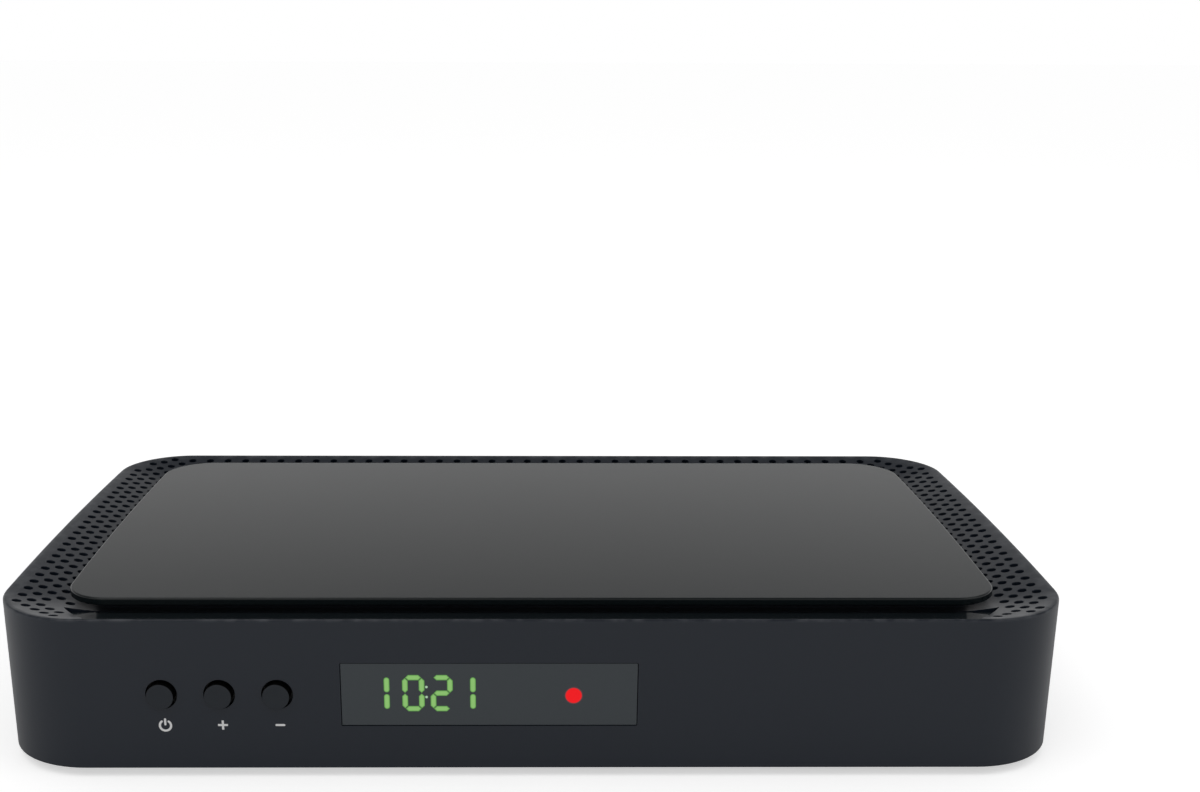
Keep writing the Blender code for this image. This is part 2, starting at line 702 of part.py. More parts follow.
def make_base_tray():
    inner = tray_edge + TRAY_LIP_WIDTH
    tray = lofted("base_tray", [
        (plan(case_sizes(tray_edge)), 0),
        (plan(case_sizes(tray_edge)), TRAY_LIP_HEIGHT),
        (plan(case_sizes(inner)), TRAY_LIP_HEIGHT),
        (plan(case_sizes(inner)), TRAY_FLOOR),
    ], SHELL)
    panel_half = opening_half + REAR_PANEL_OVERLAP + SEAT_GAP
    cut(tray, box("tray_rear_gap", (-panel_half, CASE_DEPTH - inner - CUT_OVERRUN, TRAY_FLOOR),
                  (panel_half, CASE_DEPTH, TRAY_LIP_HEIGHT + CUT_OVERRUN), tool=True))
    floor_low = TRAY_FLOOR - JOIN_OVERLAP
    pillar_ends = upright(case_screw_places(), floor_low, TRAY_LIP_HEIGHT)
    join(tray, rods("screw_pillars", pillar_ends, CASE_PILLAR_RADIUS, SMALL_SIDES))
    standoff_top = TRAY_FLOOR + STANDOFF_HEIGHT
    standoff_ends = upright(standoff_places(), floor_low, standoff_top)
    join(tray, rods("board_standoffs", standoff_ends, STANDOFF_RADIUS, SMALL_SIDES))
    hole_ends = upright(case_screw_places(), -CUT_OVERRUN, TRAY_LIP_HEIGHT + CUT_OVERRUN)
    cut(tray, rods("case_screw_holes", hole_ends, CASE_SCREW_SHANK_RADIUS + SEAT_GAP, SCREW_SIDES))
    head_ends = upright(case_screw_places(), -CUT_OVERRUN, CASE_HEAD_DEPTH)
    cut(tray, rods("case_screw_seats", head_ends, CASE_SCREW_HEAD_RADIUS + SEAT_GAP, SMALL_SIDES))
    bore_low = standoff_top - BOARD_SCREW_BITE - SEAT_GAP
    bore_ends = upright(standoff_places(), bore_low, standoff_top + CUT_OVERRUN)
    cut(tray, rods("board_screw_bores", bore_ends, BOARD_SCREW_SHANK_RADIUS + RUNNING_GAP, SCREW_SIDES))
    recess_ends = upright(foot_places(), -CUT_OVERRUN, FOOT_SUNK + SEAT_GAP)
    cut(tray, rods("foot_recesses", recess_ends, FOOT_RADIUS + SEAT_GAP, ROUND_SIDES))
    cut(tray, boxes("floor_slots", floor_slots()))


def floor_slots():
    # Slots through the floor under the main board, in a row across the middle
    count = int(board_half / FLOOR_SLOT_PITCH)
    middle_y = (board_front + board_rear) / 2
    slots = []
    for i in range(count):
        x = (i - (count - 1) / 2) * FLOOR_SLOT_PITCH
        low = (x - FLOOR_SLOT_WIDTH / 2, middle_y - FLOOR_SLOT_LENGTH / 2, -CUT_OVERRUN)
        high = (x + FLOOR_SLOT_WIDTH / 2, middle_y + FLOOR_SLOT_LENGTH / 2, TRAY_FLOOR + CUT_OVERRUN)
        slots.append((low, high))
    return slots


def make_feet():
    corner_names = ("front_left", "front_right", "rear_left", "rear_right")
    profile = [(0, FOOT_SUNK), (FOOT_RADIUS, FOOT_SUNK), (FOOT_RADIUS, FOOT_ROUND - FOOT_PROUD),
               (FOOT_RADIUS - FOOT_ROUND, -FOOT_PROUD), (0, -FOOT_PROUD)]
    for corner, (x, y) in zip(corner_names, foot_places()):
        turned("foot_" + corner, profile, ROUND_SIDES, (x, y, 0), material=RUBBER)


def screw_profile(head_radius, head_height, shank_radius, shank_length):
    # Head upwards, with its underside at zero height
    return [(0, head_height), (head_radius, head_height), (head_radius, 0), (shank_radius, 0),
            (shank_radius, -shank_length), (0, -shank_length)]


def make_screws():
    case_length = TRAY_LIP_HEIGHT - CASE_HEAD_DEPTH + SEAT_GAP + SEAT_GAP + CASE_SCREW_BITE
    profile = screw_profile(CASE_SCREW_HEAD_RADIUS, CASE_SCREW_HEAD_HEIGHT, CASE_SCREW_SHANK_RADIUS,
                            case_length)
    for i, (x, y) in enumerate(case_screw_places()):
        turned("case_screw_%d" % (i + 1), profile, SCREW_SIDES, (x, y, CASE_HEAD_DEPTH - SEAT_GAP),
               (2 * QUARTER_TURN, 0, 0), ZINC)
    board_length = BOARD_SCREW_BITE + BOARD_THICKNESS + SEAT_GAP
    board_profile = screw_profile(BOARD_SCREW_HEAD_RADIUS, BOARD_SCREW_HEAD_HEIGHT,
                                  BOARD_SCREW_SHANK_RADIUS, board_length)
    for i, (x, y) in enumerate(standoff_places()):
        turned("board_screw_%d" % (i + 1), board_profile, SCREW_SIDES, (x, y, part_floor), material=ZINC)
    for side, x in zip(("left", "right"), front_boss_xs()):
        turned("front_board_screw_" + side, board_profile, SCREW_SIDES,
               (x, front_board_back + SEAT_GAP, button_z), TOWARDS_BACK, ZINC)


# Front of the case

def make_window():
    low = (window_left, WINDOW_RECESS, window_z - WINDOW_HEIGHT / 2)
    high = (window_right, window_flange_front + JOIN_OVERLAP, window_z + WINDOW_HEIGHT / 2)
    window = box("display_window", low, high, SMOKE)
    edge = WINDOW_FLANGE_WIDTH
    join(window, box("window_flange", (low[0] - edge, window_flange_front, low[2] - edge),
                     (high[0] + edge, window_flange_front + WINDOW_FLANGE_THICKNESS, high[2] + edge),
                     tool=True))


def make_buttons():
    names = ("power", "channel_up", "channel_down")
    flange_radius = BUTTON_RADIUS + BUTTON_FLANGE_WIDTH
    flange_front = WALL + SEAT_GAP
    flange_back = flange_front + BUTTON_FLANGE_THICKNESS
    stem_end = plunger_tip - BUTTON_FREE_PLAY
    key_profile = [(0, BUTTON_PROUD), (BUTTON_RADIUS - BUTTON_ROUND, BUTTON_PROUD),
                   (BUTTON_RADIUS, BUTTON_PROUD - BUTTON_ROUND), (BUTTON_RADIUS, -flange_front),
                   (flange_radius, -flange_front), (flange_radius, -flange_back),
                   (BUTTON_STEM_RADIUS, -flange_back), (BUTTON_STEM_RADIUS, -stem_end), (0, -stem_end)]
    plunger_profile = [(0, PLUNGER_PROUD), (PLUNGER_RADIUS, PLUNGER_PROUD),
                       (PLUNGER_RADIUS, -PLUNGER_SUNK), (0, -PLUNGER_SUNK)]
    bore_floor = switch_front + PLUNGER_SUNK + PLUNGER_ROOM
    for name, x in zip(names, button_xs):
        turned(name + "_button", key_profile, ROUND_SIDES, (x, 0, button_z), TOWARDS_FRONT, KEY)
        half = SWITCH_SIZE / 2
        switch = box(name + "_switch", (x - half, switch_front, button_z - half),
                     (x + half, front_parts_back, button_z + half), SOCKET_PLASTIC)
        bore = lengthwise([x], button_z, switch_front - CUT_OVERRUN, bore_floor)
        cut(switch, rods(name + "_switch_bore", bore, PLUNGER_RADIUS + RUNNING_GAP, SMALL_SIDES))
        turned(name + "_switch_plunger", plunger_profile, SMALL_SIDES, (x, switch_front, button_z),
               TOWARDS_FRONT, KEY)


def make_front_board():
    left, right = front_boss_xs()
    reach = FRONT_BOSS_RADIUS + FRONT_BOARD_MARGIN
    low = (left - reach, front_board_face, TRAY_LIP_HEIGHT + FRONT_BOARD_EDGE_GAP)
    high = (right + reach, front_board_back, roof_under - FRONT_BOARD_EDGE_GAP)
    board = box("front_board", low, high, BOARD)
    hole_ends = lengthwise((left, right), button_z, front_board_face - CUT_OVERRUN,
                           front_board_back + CUT_OVERRUN)
    cut(board, rods("front_board_holes", hole_ends, BOARD_SCREW_SHANK_RADIUS + SEAT_GAP, SCREW_SIDES))


def make_display():
    edge = WINDOW_FLANGE_WIDTH
    display_x = window_left + DISPLAY_OFFSET
    lamp_x = window_right - LAMP_OFFSET
    receiver_x = window_right - RECEIVER_OFFSET
    mask = box("light_mask", (window_left - edge, mask_front, window_z - WINDOW_HEIGHT / 2 - edge),
               (window_right + edge, mask_front + MASK_THICKNESS, window_z + WINDOW_HEIGHT / 2 + edge), FOAM)
    mask_low = mask_front - CUT_OVERRUN
    mask_high = mask_front + MASK_THICKNESS + CUT_OVERRUN
    cut(mask, box("digits_opening", (display_x - DIGITS_WIDTH / 2, mask_low, window_z - DIGITS_HEIGHT / 2),
                  (display_x + DIGITS_WIDTH / 2, mask_high, window_z + DIGITS_HEIGHT / 2), tool=True))
    lamp_run = lengthwise([lamp_x], button_z, mask_low, mask_high)
    cut(mask, rods("lamp_opening", lamp_run, LAMP_SPOT_RADIUS, SMALL_SIDES))
    receiver_run = lengthwise([receiver_x], button_z, mask_low, mask_high)
    cut(mask, rods("receiver_opening", receiver_run, RECEIVER_LENS_RADIUS, SMALL_SIDES))
    box("clock_display", (display_x - DISPLAY_WIDTH / 2, front_parts_front, window_z - DISPLAY_HEIGHT / 2),
        (display_x + DISPLAY_WIDTH / 2, front_parts_back, window_z + DISPLAY_HEIGHT / 2), CHIP)
    make_lamp(lamp_x)
    make_receiver(receiver_x)


def dome(radius, height):
    # Profile of a quarter ellipse from the axis at the top out to the rim at zero height
    angles = [QUARTER_TURN * i / DOME_STEPS for i in range(DOME_STEPS + 1)]
    return [(radius * math.sin(angle), height * math.cos(angle)) for angle in angles]


def make_lamp(x):
    # Round-nosed lamp standing on the front board, its nose just behind the mask
    length = front_parts_back - front_parts_front
    nose = [(radius, length - LAMP_RADIUS + height) for radius, height in dome(LAMP_RADIUS, LAMP_RADIUS)]
    profile = nose + [(LAMP_RADIUS, LAMP_FLANGE_THICKNESS), (LAMP_FLANGE_RADIUS, LAMP_FLANGE_THICKNESS),
                      (LAMP_FLANGE_RADIUS, 0), (0, 0)]
    turned("standby_lamp", profile, SMALL_SIDES, (x, front_parts_back, button_z), TOWARDS_FRONT, RED_LENS)


def make_receiver(x):
    front = front_parts_back - RECEIVER_DEPTH
    receiver = box("remote_receiver", (x - RECEIVER_WIDTH / 2, front, button_z - RECEIVER_HEIGHT / 2),
                   (x + RECEIVER_WIDTH / 2, front_parts_back, button_z + RECEIVER_HEIGHT / 2), CHIP)
    lens = dome(RECEIVER_LENS_RADIUS, front - front_parts_front)
    lens += [(RECEIVER_LENS_RADIUS, -JOIN_OVERLAP), (0, -JOIN_OVERLAP)]
    join(receiver, turned("receiver_lens", lens, SMALL_SIDES, (x, front, button_z), TOWARDS_FRONT, tool=True))


def make_ribbon():
    # Flat cable from the front board's header, back and over, down into the main board's header
    front_face = front_board_back + SEAT_GAP
    header_z = part_floor + HEADER_HEIGHT
    left = window_x - HEADER_WIDTH / 2
    right = window_x + HEADER_WIDTH / 2
    box("front_board_header", (left, front_face, header_z - HEADER_HEIGHT / 2),
        (right, front_face + HEADER_DEPTH, header_z + HEADER_HEIGHT / 2), HEADER_PLASTIC)
    main_y = board_front + STANDOFF_EDGE_INSET
    box("main_board_header", (left, main_y - HEADER_DEPTH / 2, part_floor),
        (right, main_y + HEADER_DEPTH / 2, part_floor + HEADER_HEIGHT), HEADER_PLASTIC)
    start = Vector((front_face + HEADER_DEPTH + SEAT_GAP, header_z))
    stop = Vector((main_y, part_floor + HEADER_HEIGHT + SEAT_GAP))
    reach = (stop.x - start.x) / 2
    handles = (start, start + Vector((reach, 0)), stop + Vector((0, RIBBON_RISE + RIBBON_DROP)), stop)
    near, far = [], []
    for step in range(RIBBON_STEPS + 1):
        point, direction = bezier(handles, step / RIBBON_STEPS)
        side = Vector((-direction.y, direction.x)) * RIBBON_THICKNESS / 2
        near.append(tuple(point + side))
        far.append(tuple(point - side))
    extruded("ribbon_cable", far + near[::-1], RIBBON_WIDTH, (window_x, 0, 0), ALONG_X, RIBBON)


def bezier(handles, t):
    a, b, c, d = handles
    s = 1 - t
    point = a * s ** 3 + b * (3 * s * s * t) + c * (3 * s * t * t) + d * t ** 3
    slope = (b - a) * s * s + (c - b) * (2 * s * t) + (d - c) * t * t
    return point, slope.normalized()


# Main board and the pieces on it

def make_main_board():
    board = box("main_board", (-board_half, board_front, board_under),
                (board_half, board_rear, board_top), BOARD)
    hole_ends = upright(standoff_places(), board_under - CUT_OVERRUN, board_top + CUT_OVERRUN)
    cut(board, rods("main_board_holes", hole_ends, BOARD_SCREW_SHANK_RADIUS + SEAT_GAP, SCREW_SIDES))


def on_board(shares):
    return -board_half + 2 * board_half * shares[0], board_front + (board_rear - board_front) * shares[1]


def chip(name, shares, width, length, height, material=CHIP, rounding=0):
    x, y = on_board(shares)
    return box(name, (x - width / 2, y - length / 2, part_floor),
               (x + width / 2, y + length / 2, part_floor + height), material, rounding=rounding)


def make_board_parts():
    chip("processor", PROCESSOR_SHARES, PROCESSOR_SIZE, PROCESSOR_SIZE, PROCESSOR_HEIGHT)
    chip("memory_chip", MEMORY_SHARES, MEMORY_WIDTH, MEMORY_LENGTH, MEMORY_HEIGHT)
    chip("flash_chip", FLASH_SHARES, FLASH_WIDTH, FLASH_LENGTH, FLASH_HEIGHT)
    chip("crystal", CRYSTAL_SHARES, CRYSTAL_LENGTH, CRYSTAL_WIDTH, CRYSTAL_HEIGHT, TINPLATE, TUNER_ROUND)
    chip("power_inductor", INDUCTOR_SHARES, INDUCTOR_SIZE, INDUCTOR_SIZE, INDUCTOR_HEIGHT, CHIP, TUNER_ROUND)
    can = [(0, CAPACITOR_HEIGHT), (CAPACITOR_RADIUS - CAPACITOR_ROUND, CAPACITOR_HEIGHT),
           (CAPACITOR_RADIUS, CAPACITOR_HEIGHT - CAPACITOR_ROUND), (CAPACITOR_RADIUS, 0), (0, 0)]
    for i, shares in enumerate(CAPACITOR_SHARES):
        turned("filter_capacitor_%d" % (i + 1), can, SMALL_SIDES, (*on_board(shares), part_floor),
               material=SLEEVE)
    make_heatsink()


def make_heatsink():
    x, y = on_board(PROCESSOR_SHARES)
    half = HEATSINK_SIZE / 2
    low = part_floor + PROCESSOR_HEIGHT + SEAT_GAP
    sink = box("heatsink", (x - half, y - half, low), (x + half, y + half, low + HEATSINK_BASE), ALUMINIUM)
    pitch = (HEATSINK_SIZE - HEATSINK_FIN) / (HEATSINK_FINS - 1)
    fins = []
    for i in range(HEATSINK_FINS):
        left = x - half + i * pitch
        fins.append(((left, y - half, low + HEATSINK_BASE - JOIN_OVERLAP),
                     (left + HEATSINK_FIN, y + half, low + HEATSINK_HEIGHT)))
    join(sink, boxes("heatsink_fins", fins))


# Rear panel and sockets

SOCKET_WIDTHS = {
    "satellite": 2 * SATELLITE_NUT_RADIUS, "aerial_in": 2 * AERIAL_RADIUS, "aerial_out": 2 * AERIAL_RADIUS,
    "hdmi": HDMI_WIDTH, "ethernet": ETHERNET_WIDTH, "usb": USB_WIDTH,
    "coax": COAX_BLOCK_WIDTH, "av": AV_BLOCK_WIDTH, "power": POWER_BLOCK_WIDTH,
}
socket_gap = (2 * opening_half - sum(SOCKET_WIDTHS.values())) / (len(SOCKET_WIDTHS) + 1)
socket_x = {}
edge_x = -opening_half
for socket_name, socket_width in SOCKET_WIDTHS.items():
    socket_x[socket_name] = edge_x + socket_gap + socket_width / 2
    edge_x += socket_gap + socket_width
coax_z = part_floor + COAX_BLOCK_WIDTH / 2
av_z = part_floor + AV_BLOCK_HEIGHT / 2
power_z = part_floor + POWER_BLOCK_HEIGHT / 2


def make_rear_panel():
    half = opening_half + REAR_PANEL_OVERLAP
    panel = box("rear_panel", (-half, rear_panel_front, TRAY_FLOOR + SEAT_GAP),
                (half, rear_panel_back, opening_top + REAR_PANEL_OVERLAP), SHEET_STEEL)
    low_y = rear_panel_front - CUT_OVERRUN
    high_y = rear_panel_back + CUT_OVERRUN
    round_holes = (("satellite", tuner_z, SATELLITE_RADIUS), ("aerial_in", tuner_z, AERIAL_RADIUS),
                   ("aerial_out", tuner_z, AERIAL_RADIUS), ("coax", coax_z, COAX_RADIUS),
                   ("av", av_z, AV_NOSE_RADIUS))
    for name, z, radius in round_holes:
        run = lengthwise([socket_x[name]], z, low_y, high_y)
        cut(panel, rods(name + "_hole", run, radius + SEAT_GAP, ROUND_SIDES))
    square_holes = (("hdmi", HDMI_WIDTH, HDMI_HEIGHT), ("ethernet", ETHERNET_WIDTH, ETHERNET_HEIGHT),
                    ("usb", USB_WIDTH, USB_HEIGHT), ("power", POWER_BLOCK_WIDTH, POWER_BLOCK_HEIGHT))
    for name, width, height in square_holes:
        reach = width / 2 + SEAT_GAP
        cut(panel, box(name + "_hole", (socket_x[name] - reach, low_y, board_top),
                       (socket_x[name] + reach, high_y, part_floor + height + SEAT_GAP), tool=True))


def make_tuners():
    overhang = socket_gap * TUNER_OVERHANG_SHARE
    spans = (("satellite_tuner", "satellite", "satellite", SATELLITE_NUT_RADIUS),
             ("terrestrial_tuner", "aerial_in", "aerial_out", AERIAL_RADIUS))
    for name, first, last, reach in spans:
        box(name, (socket_x[first] - reach - overhang, board_rear - TUNER_DEPTH, part_floor),
            (socket_x[last] + reach + overhang, board_rear, part_floor + TUNER_HEIGHT), TINPLATE,
            rounding=TUNER_ROUND)


def make_aerial_sockets():
    # Heights in these profiles run backwards from the tuners' rear face
    root = board_rear + SEAT_GAP
    reach = CASE_DEPTH + SATELLITE_REACH - root
    satellite = [(0, reach - SATELLITE_PIN_DEPTH), (SATELLITE_PIN_RADIUS, reach - SATELLITE_PIN_DEPTH),
                 (SATELLITE_PIN_RADIUS, reach - SATELLITE_CORE_DEPTH),
                 (SATELLITE_CORE_RADIUS, reach - SATELLITE_CORE_DEPTH), (SATELLITE_CORE_RADIUS, reach),
                 (SATELLITE_RADIUS - SATELLITE_CHAMFER, reach), (SATELLITE_RADIUS, reach - SATELLITE_CHAMFER),
                 (SATELLITE_RADIUS, 0), (0, 0)]
    turned("satellite_socket", satellite, ROUND_SIDES, (socket_x["satellite"], root, tuner_z),
           TOWARDS_BACK, NICKEL)
    nut_front = rear_panel_back + SEAT_GAP
    nut_back = nut_front + SATELLITE_NUT_HEIGHT
    nut_run = lengthwise([socket_x["satellite"]], tuner_z, nut_front, nut_back)
    nut = rods("satellite_socket_nut", nut_run, SATELLITE_NUT_RADIUS, NUT_SIDES, NICKEL, tool=False)
    bore_run = lengthwise([socket_x["satellite"]], tuner_z, nut_front - CUT_OVERRUN, nut_back + CUT_OVERRUN)
    cut(nut, rods("satellite_nut_bore", bore_run, SATELLITE_RADIUS + SEAT_GAP, ROUND_SIDES))
    reach = CASE_DEPTH + AERIAL_REACH - root
    floor = reach - AERIAL_BORE_DEPTH
    aerial_in = [(0, floor), (AERIAL_CONTACT_BORE, floor), (AERIAL_CONTACT_BORE, reach - AERIAL_CONTACT_BORE),
                 (AERIAL_CONTACT_RADIUS, reach - AERIAL_CONTACT_BORE), (AERIAL_CONTACT_RADIUS, floor),
                 (AERIAL_BORE_RADIUS, floor), (AERIAL_BORE_RADIUS, reach), (AERIAL_RADIUS, reach),
                 (AERIAL_RADIUS, 0), (0, 0)]
    turned("aerial_in_socket", aerial_in, ROUND_SIDES, (socket_x["aerial_in"], root, tuner_z),
           TOWARDS_BACK, NICKEL)
    shoulder = socket_face - root
    aerial_out = [(0, reach - AERIAL_OUT_WALL), (AERIAL_OUT_PIN_RADIUS, reach - AERIAL_OUT_WALL),
                  (AERIAL_OUT_PIN_RADIUS, floor), (AERIAL_OUT_RADIUS - AERIAL_OUT_WALL, floor),
                  (AERIAL_OUT_RADIUS - AERIAL_OUT_WALL, reach), (AERIAL_OUT_RADIUS, reach),
                  (AERIAL_OUT_RADIUS, shoulder), (AERIAL_RADIUS, shoulder), (AERIAL_RADIUS, 0), (0, 0)]
    turned("aerial_out_socket", aerial_out, ROUND_SIDES, (socket_x["aerial_out"], root, tuner_z),
           TOWARDS_BACK, NICKEL)


def hdmi_outline(shrink):
    # Socket shell seen from behind: square above, both lower corners cut off
    half = HDMI_WIDTH / 2 - shrink
    top = HDMI_HEIGHT - shrink
    return [(-half, top), (-half, HDMI_CHAMFER), (HDMI_CHAMFER - half, shrink),
            (half - HDMI_CHAMFER, shrink), (half, HDMI_CHAMFER), (half, top)]


def make_hdmi():
    x = socket_x["hdmi"]
    body = extruded("hdmi_socket", hdmi_outline(0), HDMI_DEPTH,
                    (x, socket_face - HDMI_DEPTH / 2, part_floor), TOWARDS_FRONT, NICKEL)
    mouth_floor = socket_face - HDMI_MOUTH_DEPTH
    mouth_length = HDMI_MOUTH_DEPTH + CUT_OVERRUN
    cut(body, extruded("hdmi_mouth", hdmi_outline(HDMI_SHELL), mouth_length,
                       (x, mouth_floor + mouth_length / 2, part_floor), TOWARDS_FRONT, tool=True))
    middle = part_floor + HDMI_HEIGHT / 2
    tongue_low = (x - HDMI_TONGUE_WIDTH / 2, mouth_floor - JOIN_OVERLAP, middle)
    tongue_high = (x + HDMI_TONGUE_WIDTH / 2, socket_face - HDMI_CHAMFER, middle + HDMI_TONGUE_HEIGHT)
    join(body, box("hdmi_tongue", tongue_low, tongue_high, tool=True))


def make_ethernet():
    x = socket_x["ethernet"]
    body = box("ethernet_socket", (x - ETHERNET_WIDTH / 2, socket_face - ETHERNET_DEPTH, part_floor),
               (x + ETHERNET_WIDTH / 2, socket_face, part_floor + ETHERNET_HEIGHT), SOCKET_PLASTIC)
    floor = part_floor + ETHERNET_MOUTH_SILL
    deep = socket_face - ETHERNET_MOUTH_DEPTH
    back = socket_face + CUT_OVERRUN
    cut(body, box("ethernet_mouth", (x - ETHERNET_MOUTH_WIDTH / 2, deep, floor),
                  (x + ETHERNET_MOUTH_WIDTH / 2, back, floor + ETHERNET_MOUTH_HEIGHT), tool=True))
    latch_top = floor + ETHERNET_MOUTH_HEIGHT + ETHERNET_LATCH_HEIGHT
    cut(body, box("ethernet_latch", (x - ETHERNET_LATCH_WIDTH / 2, deep, floor + JOIN_OVERLAP),
                  (x + ETHERNET_LATCH_WIDTH / 2, back, latch_top), tool=True))


def make_usb():
    x = socket_x["usb"]
    half = USB_WIDTH / 2
    body = box("usb_socket", (x - half, socket_face - USB_DEPTH, part_floor),
               (x + half, socket_face, part_floor + USB_HEIGHT), NICKEL)
    top = part_floor + USB_HEIGHT - USB_SHELL
    mouth_floor = socket_face - USB_MOUTH_DEPTH
    mouth_low = (x - half + USB_SHELL, mouth_floor, part_floor + USB_SHELL)
    cut(body, box("usb_mouth", mouth_low, (x + half - USB_SHELL, socket_face + CUT_OVERRUN, top), tool=True))
    tongue_top = top - USB_TONGUE_DROP
    tongue_low = (x - USB_TONGUE_WIDTH / 2, mouth_floor - JOIN_OVERLAP, tongue_top - USB_TONGUE_HEIGHT)
    tongue_high = (x + USB_TONGUE_WIDTH / 2, socket_face - USB_SHELL, tongue_top)
    join(body, box("usb_tongue", tongue_low, tongue_high, tool=True))


def make_coax():
    x = socket_x["coax"]
    block_back = rear_panel_front - BLOCK_PANEL_GAP
    block = box("digital_audio_socket", (x - COAX_BLOCK_WIDTH / 2, block_back - COAX_BLOCK_DEPTH, part_floor),
                (x + COAX_BLOCK_WIDTH / 2, block_back, part_floor + COAX_BLOCK_WIDTH), SOCKET_PLASTIC)
    root = block_back - JOIN_OVERLAP
    reach = CASE_DEPTH + COAX_REACH - root
    barrel = [(0, reach - COAX_PIN_DEPTH), (COAX_PIN_RADIUS, reach - COAX_PIN_DEPTH),
              (COAX_PIN_RADIUS, reach - COAX_CORE_DEPTH), (COAX_CORE_RADIUS, reach - COAX_CORE_DEPTH),
              (COAX_CORE_RADIUS, reach), (COAX_RADIUS, reach), (COAX_RADIUS, 0), (0, 0)]
    join(block, turned("coax_barrel", barrel, ROUND_SIDES, (x, root, coax_z), TOWARDS_BACK, tool=True))


def make_av():
    x = socket_x["av"]
    block_back = rear_panel_front - BLOCK_PANEL_GAP
    block = box("av_socket", (x - AV_BLOCK_WIDTH / 2, block_back - AV_BLOCK_DEPTH, part_floor),
                (x + AV_BLOCK_WIDTH / 2, block_back, part_floor + AV_BLOCK_HEIGHT), SOCKET_PLASTIC)
    nose = lengthwise([x], av_z, block_back - JOIN_OVERLAP, socket_face)
    join(block, rods("av_nose", nose, AV_NOSE_RADIUS, ROUND_SIDES))
    bore = lengthwise([x], av_z, socket_face - AV_BORE_DEPTH, socket_face + CUT_OVERRUN)
    cut(block, rods("av_bore", bore, AV_BORE_RADIUS, SMALL_SIDES))


def make_power_inlet():
    x = socket_x["power"]
    block = box("power_inlet", (x - POWER_BLOCK_WIDTH / 2, socket_face - POWER_BLOCK_DEPTH, part_floor),
                (x + POWER_BLOCK_WIDTH / 2, socket_face, part_floor + POWER_BLOCK_HEIGHT), SOCKET_PLASTIC)
    floor = socket_face - POWER_BORE_DEPTH
    bore = lengthwise([x], power_z, floor, socket_face + CUT_OVERRUN)
    cut(block, rods("power_bore", bore, POWER_BORE_RADIUS, ROUND_SIDES))
    pin = lengthwise([x], power_z, floor - JOIN_OVERLAP, socket_face - POWER_PIN_RADIUS)
    join(block, rods("power_pin", pin, POWER_PIN_RADIUS, SMALL_SIDES))


make_upper_shell()
make_top_panel()
make_front_trim()
make_base_tray()
make_feet()
make_screws()
make_window()
make_buttons()
make_front_board()
make_display()
make_ribbon()
make_main_board()
make_board_parts()
make_rear_panel()
make_tuners()
make_aerial_sockets()
make_hdmi()
make_ethernet()
make_usb()
make_coax()
make_av()
make_power_inlet()
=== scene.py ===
# Television decoder box: detailed surfaces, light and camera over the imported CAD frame.
# Lengths are in metres. Most pieces are drawn in the case's own frame (Y from the front face
# to the back, Z up from the underside) and moved into place as they are finished.

import json
import math

import bmesh
import bpy
from mathutils import Euler, Matrix, Vector

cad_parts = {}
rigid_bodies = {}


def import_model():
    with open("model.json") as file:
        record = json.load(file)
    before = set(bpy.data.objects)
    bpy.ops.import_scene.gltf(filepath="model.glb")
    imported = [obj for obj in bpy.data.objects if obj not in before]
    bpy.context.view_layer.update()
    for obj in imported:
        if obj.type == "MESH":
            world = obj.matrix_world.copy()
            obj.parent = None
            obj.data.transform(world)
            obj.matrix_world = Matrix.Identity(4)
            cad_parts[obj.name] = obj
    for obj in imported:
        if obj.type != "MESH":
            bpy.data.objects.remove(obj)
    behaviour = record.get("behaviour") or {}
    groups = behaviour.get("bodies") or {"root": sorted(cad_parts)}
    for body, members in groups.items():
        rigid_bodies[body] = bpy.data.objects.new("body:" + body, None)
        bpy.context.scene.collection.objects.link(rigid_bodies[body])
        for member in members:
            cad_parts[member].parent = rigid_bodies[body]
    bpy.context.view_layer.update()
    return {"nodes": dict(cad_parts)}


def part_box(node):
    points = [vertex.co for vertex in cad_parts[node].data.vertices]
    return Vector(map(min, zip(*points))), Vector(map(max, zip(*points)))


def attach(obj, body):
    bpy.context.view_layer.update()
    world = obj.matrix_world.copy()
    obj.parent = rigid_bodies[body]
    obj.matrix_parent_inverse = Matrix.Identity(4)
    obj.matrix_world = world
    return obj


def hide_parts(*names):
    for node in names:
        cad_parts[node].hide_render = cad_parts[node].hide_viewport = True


for old in list(bpy.data.objects):
    bpy.data.objects.remove(old, do_unlink=True)

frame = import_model()
print("frame loaded:", len(frame["nodes"]), "nodes")

quarterTurn = math.pi / 2
shellLow, shellHigh = (Vector(corner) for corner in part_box("upper_shell"))
caseShift = Vector((0, shellLow.y, shellLow.z))
caseWidth = shellHigh.x - shellLow.x
caseDepth = shellHigh.y - shellLow.y
caseHeight = shellHigh.z - shellLow.z
halfWidth = caseWidth / 2


# Node trees

def addNode(tree, kind, inputs=None, **settings):
    # inputs maps a socket's name or number to a value, or to the socket that feeds it
    node = tree.nodes.new(kind)
    for name, value in settings.items():
        setattr(node, name, value)
    for key, value in (inputs or {}).items():
        if isinstance(value, bpy.types.NodeSocket):
            tree.links.new(value, node.inputs[key])
        else:
            node.inputs[key].default_value = value
    return node


def calc(tree, operation, *terms):
    kind = "ShaderNodeMath"
    return addNode(tree, kind, dict(enumerate(terms)), operation=operation).outputs[0]


def spread(tree, value, low, high, toLow=0.0, toHigh=1.0):
    inputs = {"Value": value, "From Min": low, "From Max": high, "To Min": toLow, "To Max": toHigh}
    return addNode(tree, "ShaderNodeMapRange", inputs).outputs["Result"]


def mixColour(tree, amount, first, second):
    # Sockets 6 and 7 are the two colours, and output 2 is the mixed one
    inputs = {"Factor": amount, 6: first, 7: second}
    return addNode(tree, "ShaderNodeMix", inputs, data_type="RGBA").outputs[2]


def noiseAt(tree, place, scale, detail):
    inputs = {"Vector": place, "Scale": scale, "Detail": detail}
    return addNode(tree, "ShaderNodeTexNoise", inputs).outputs["Fac"]


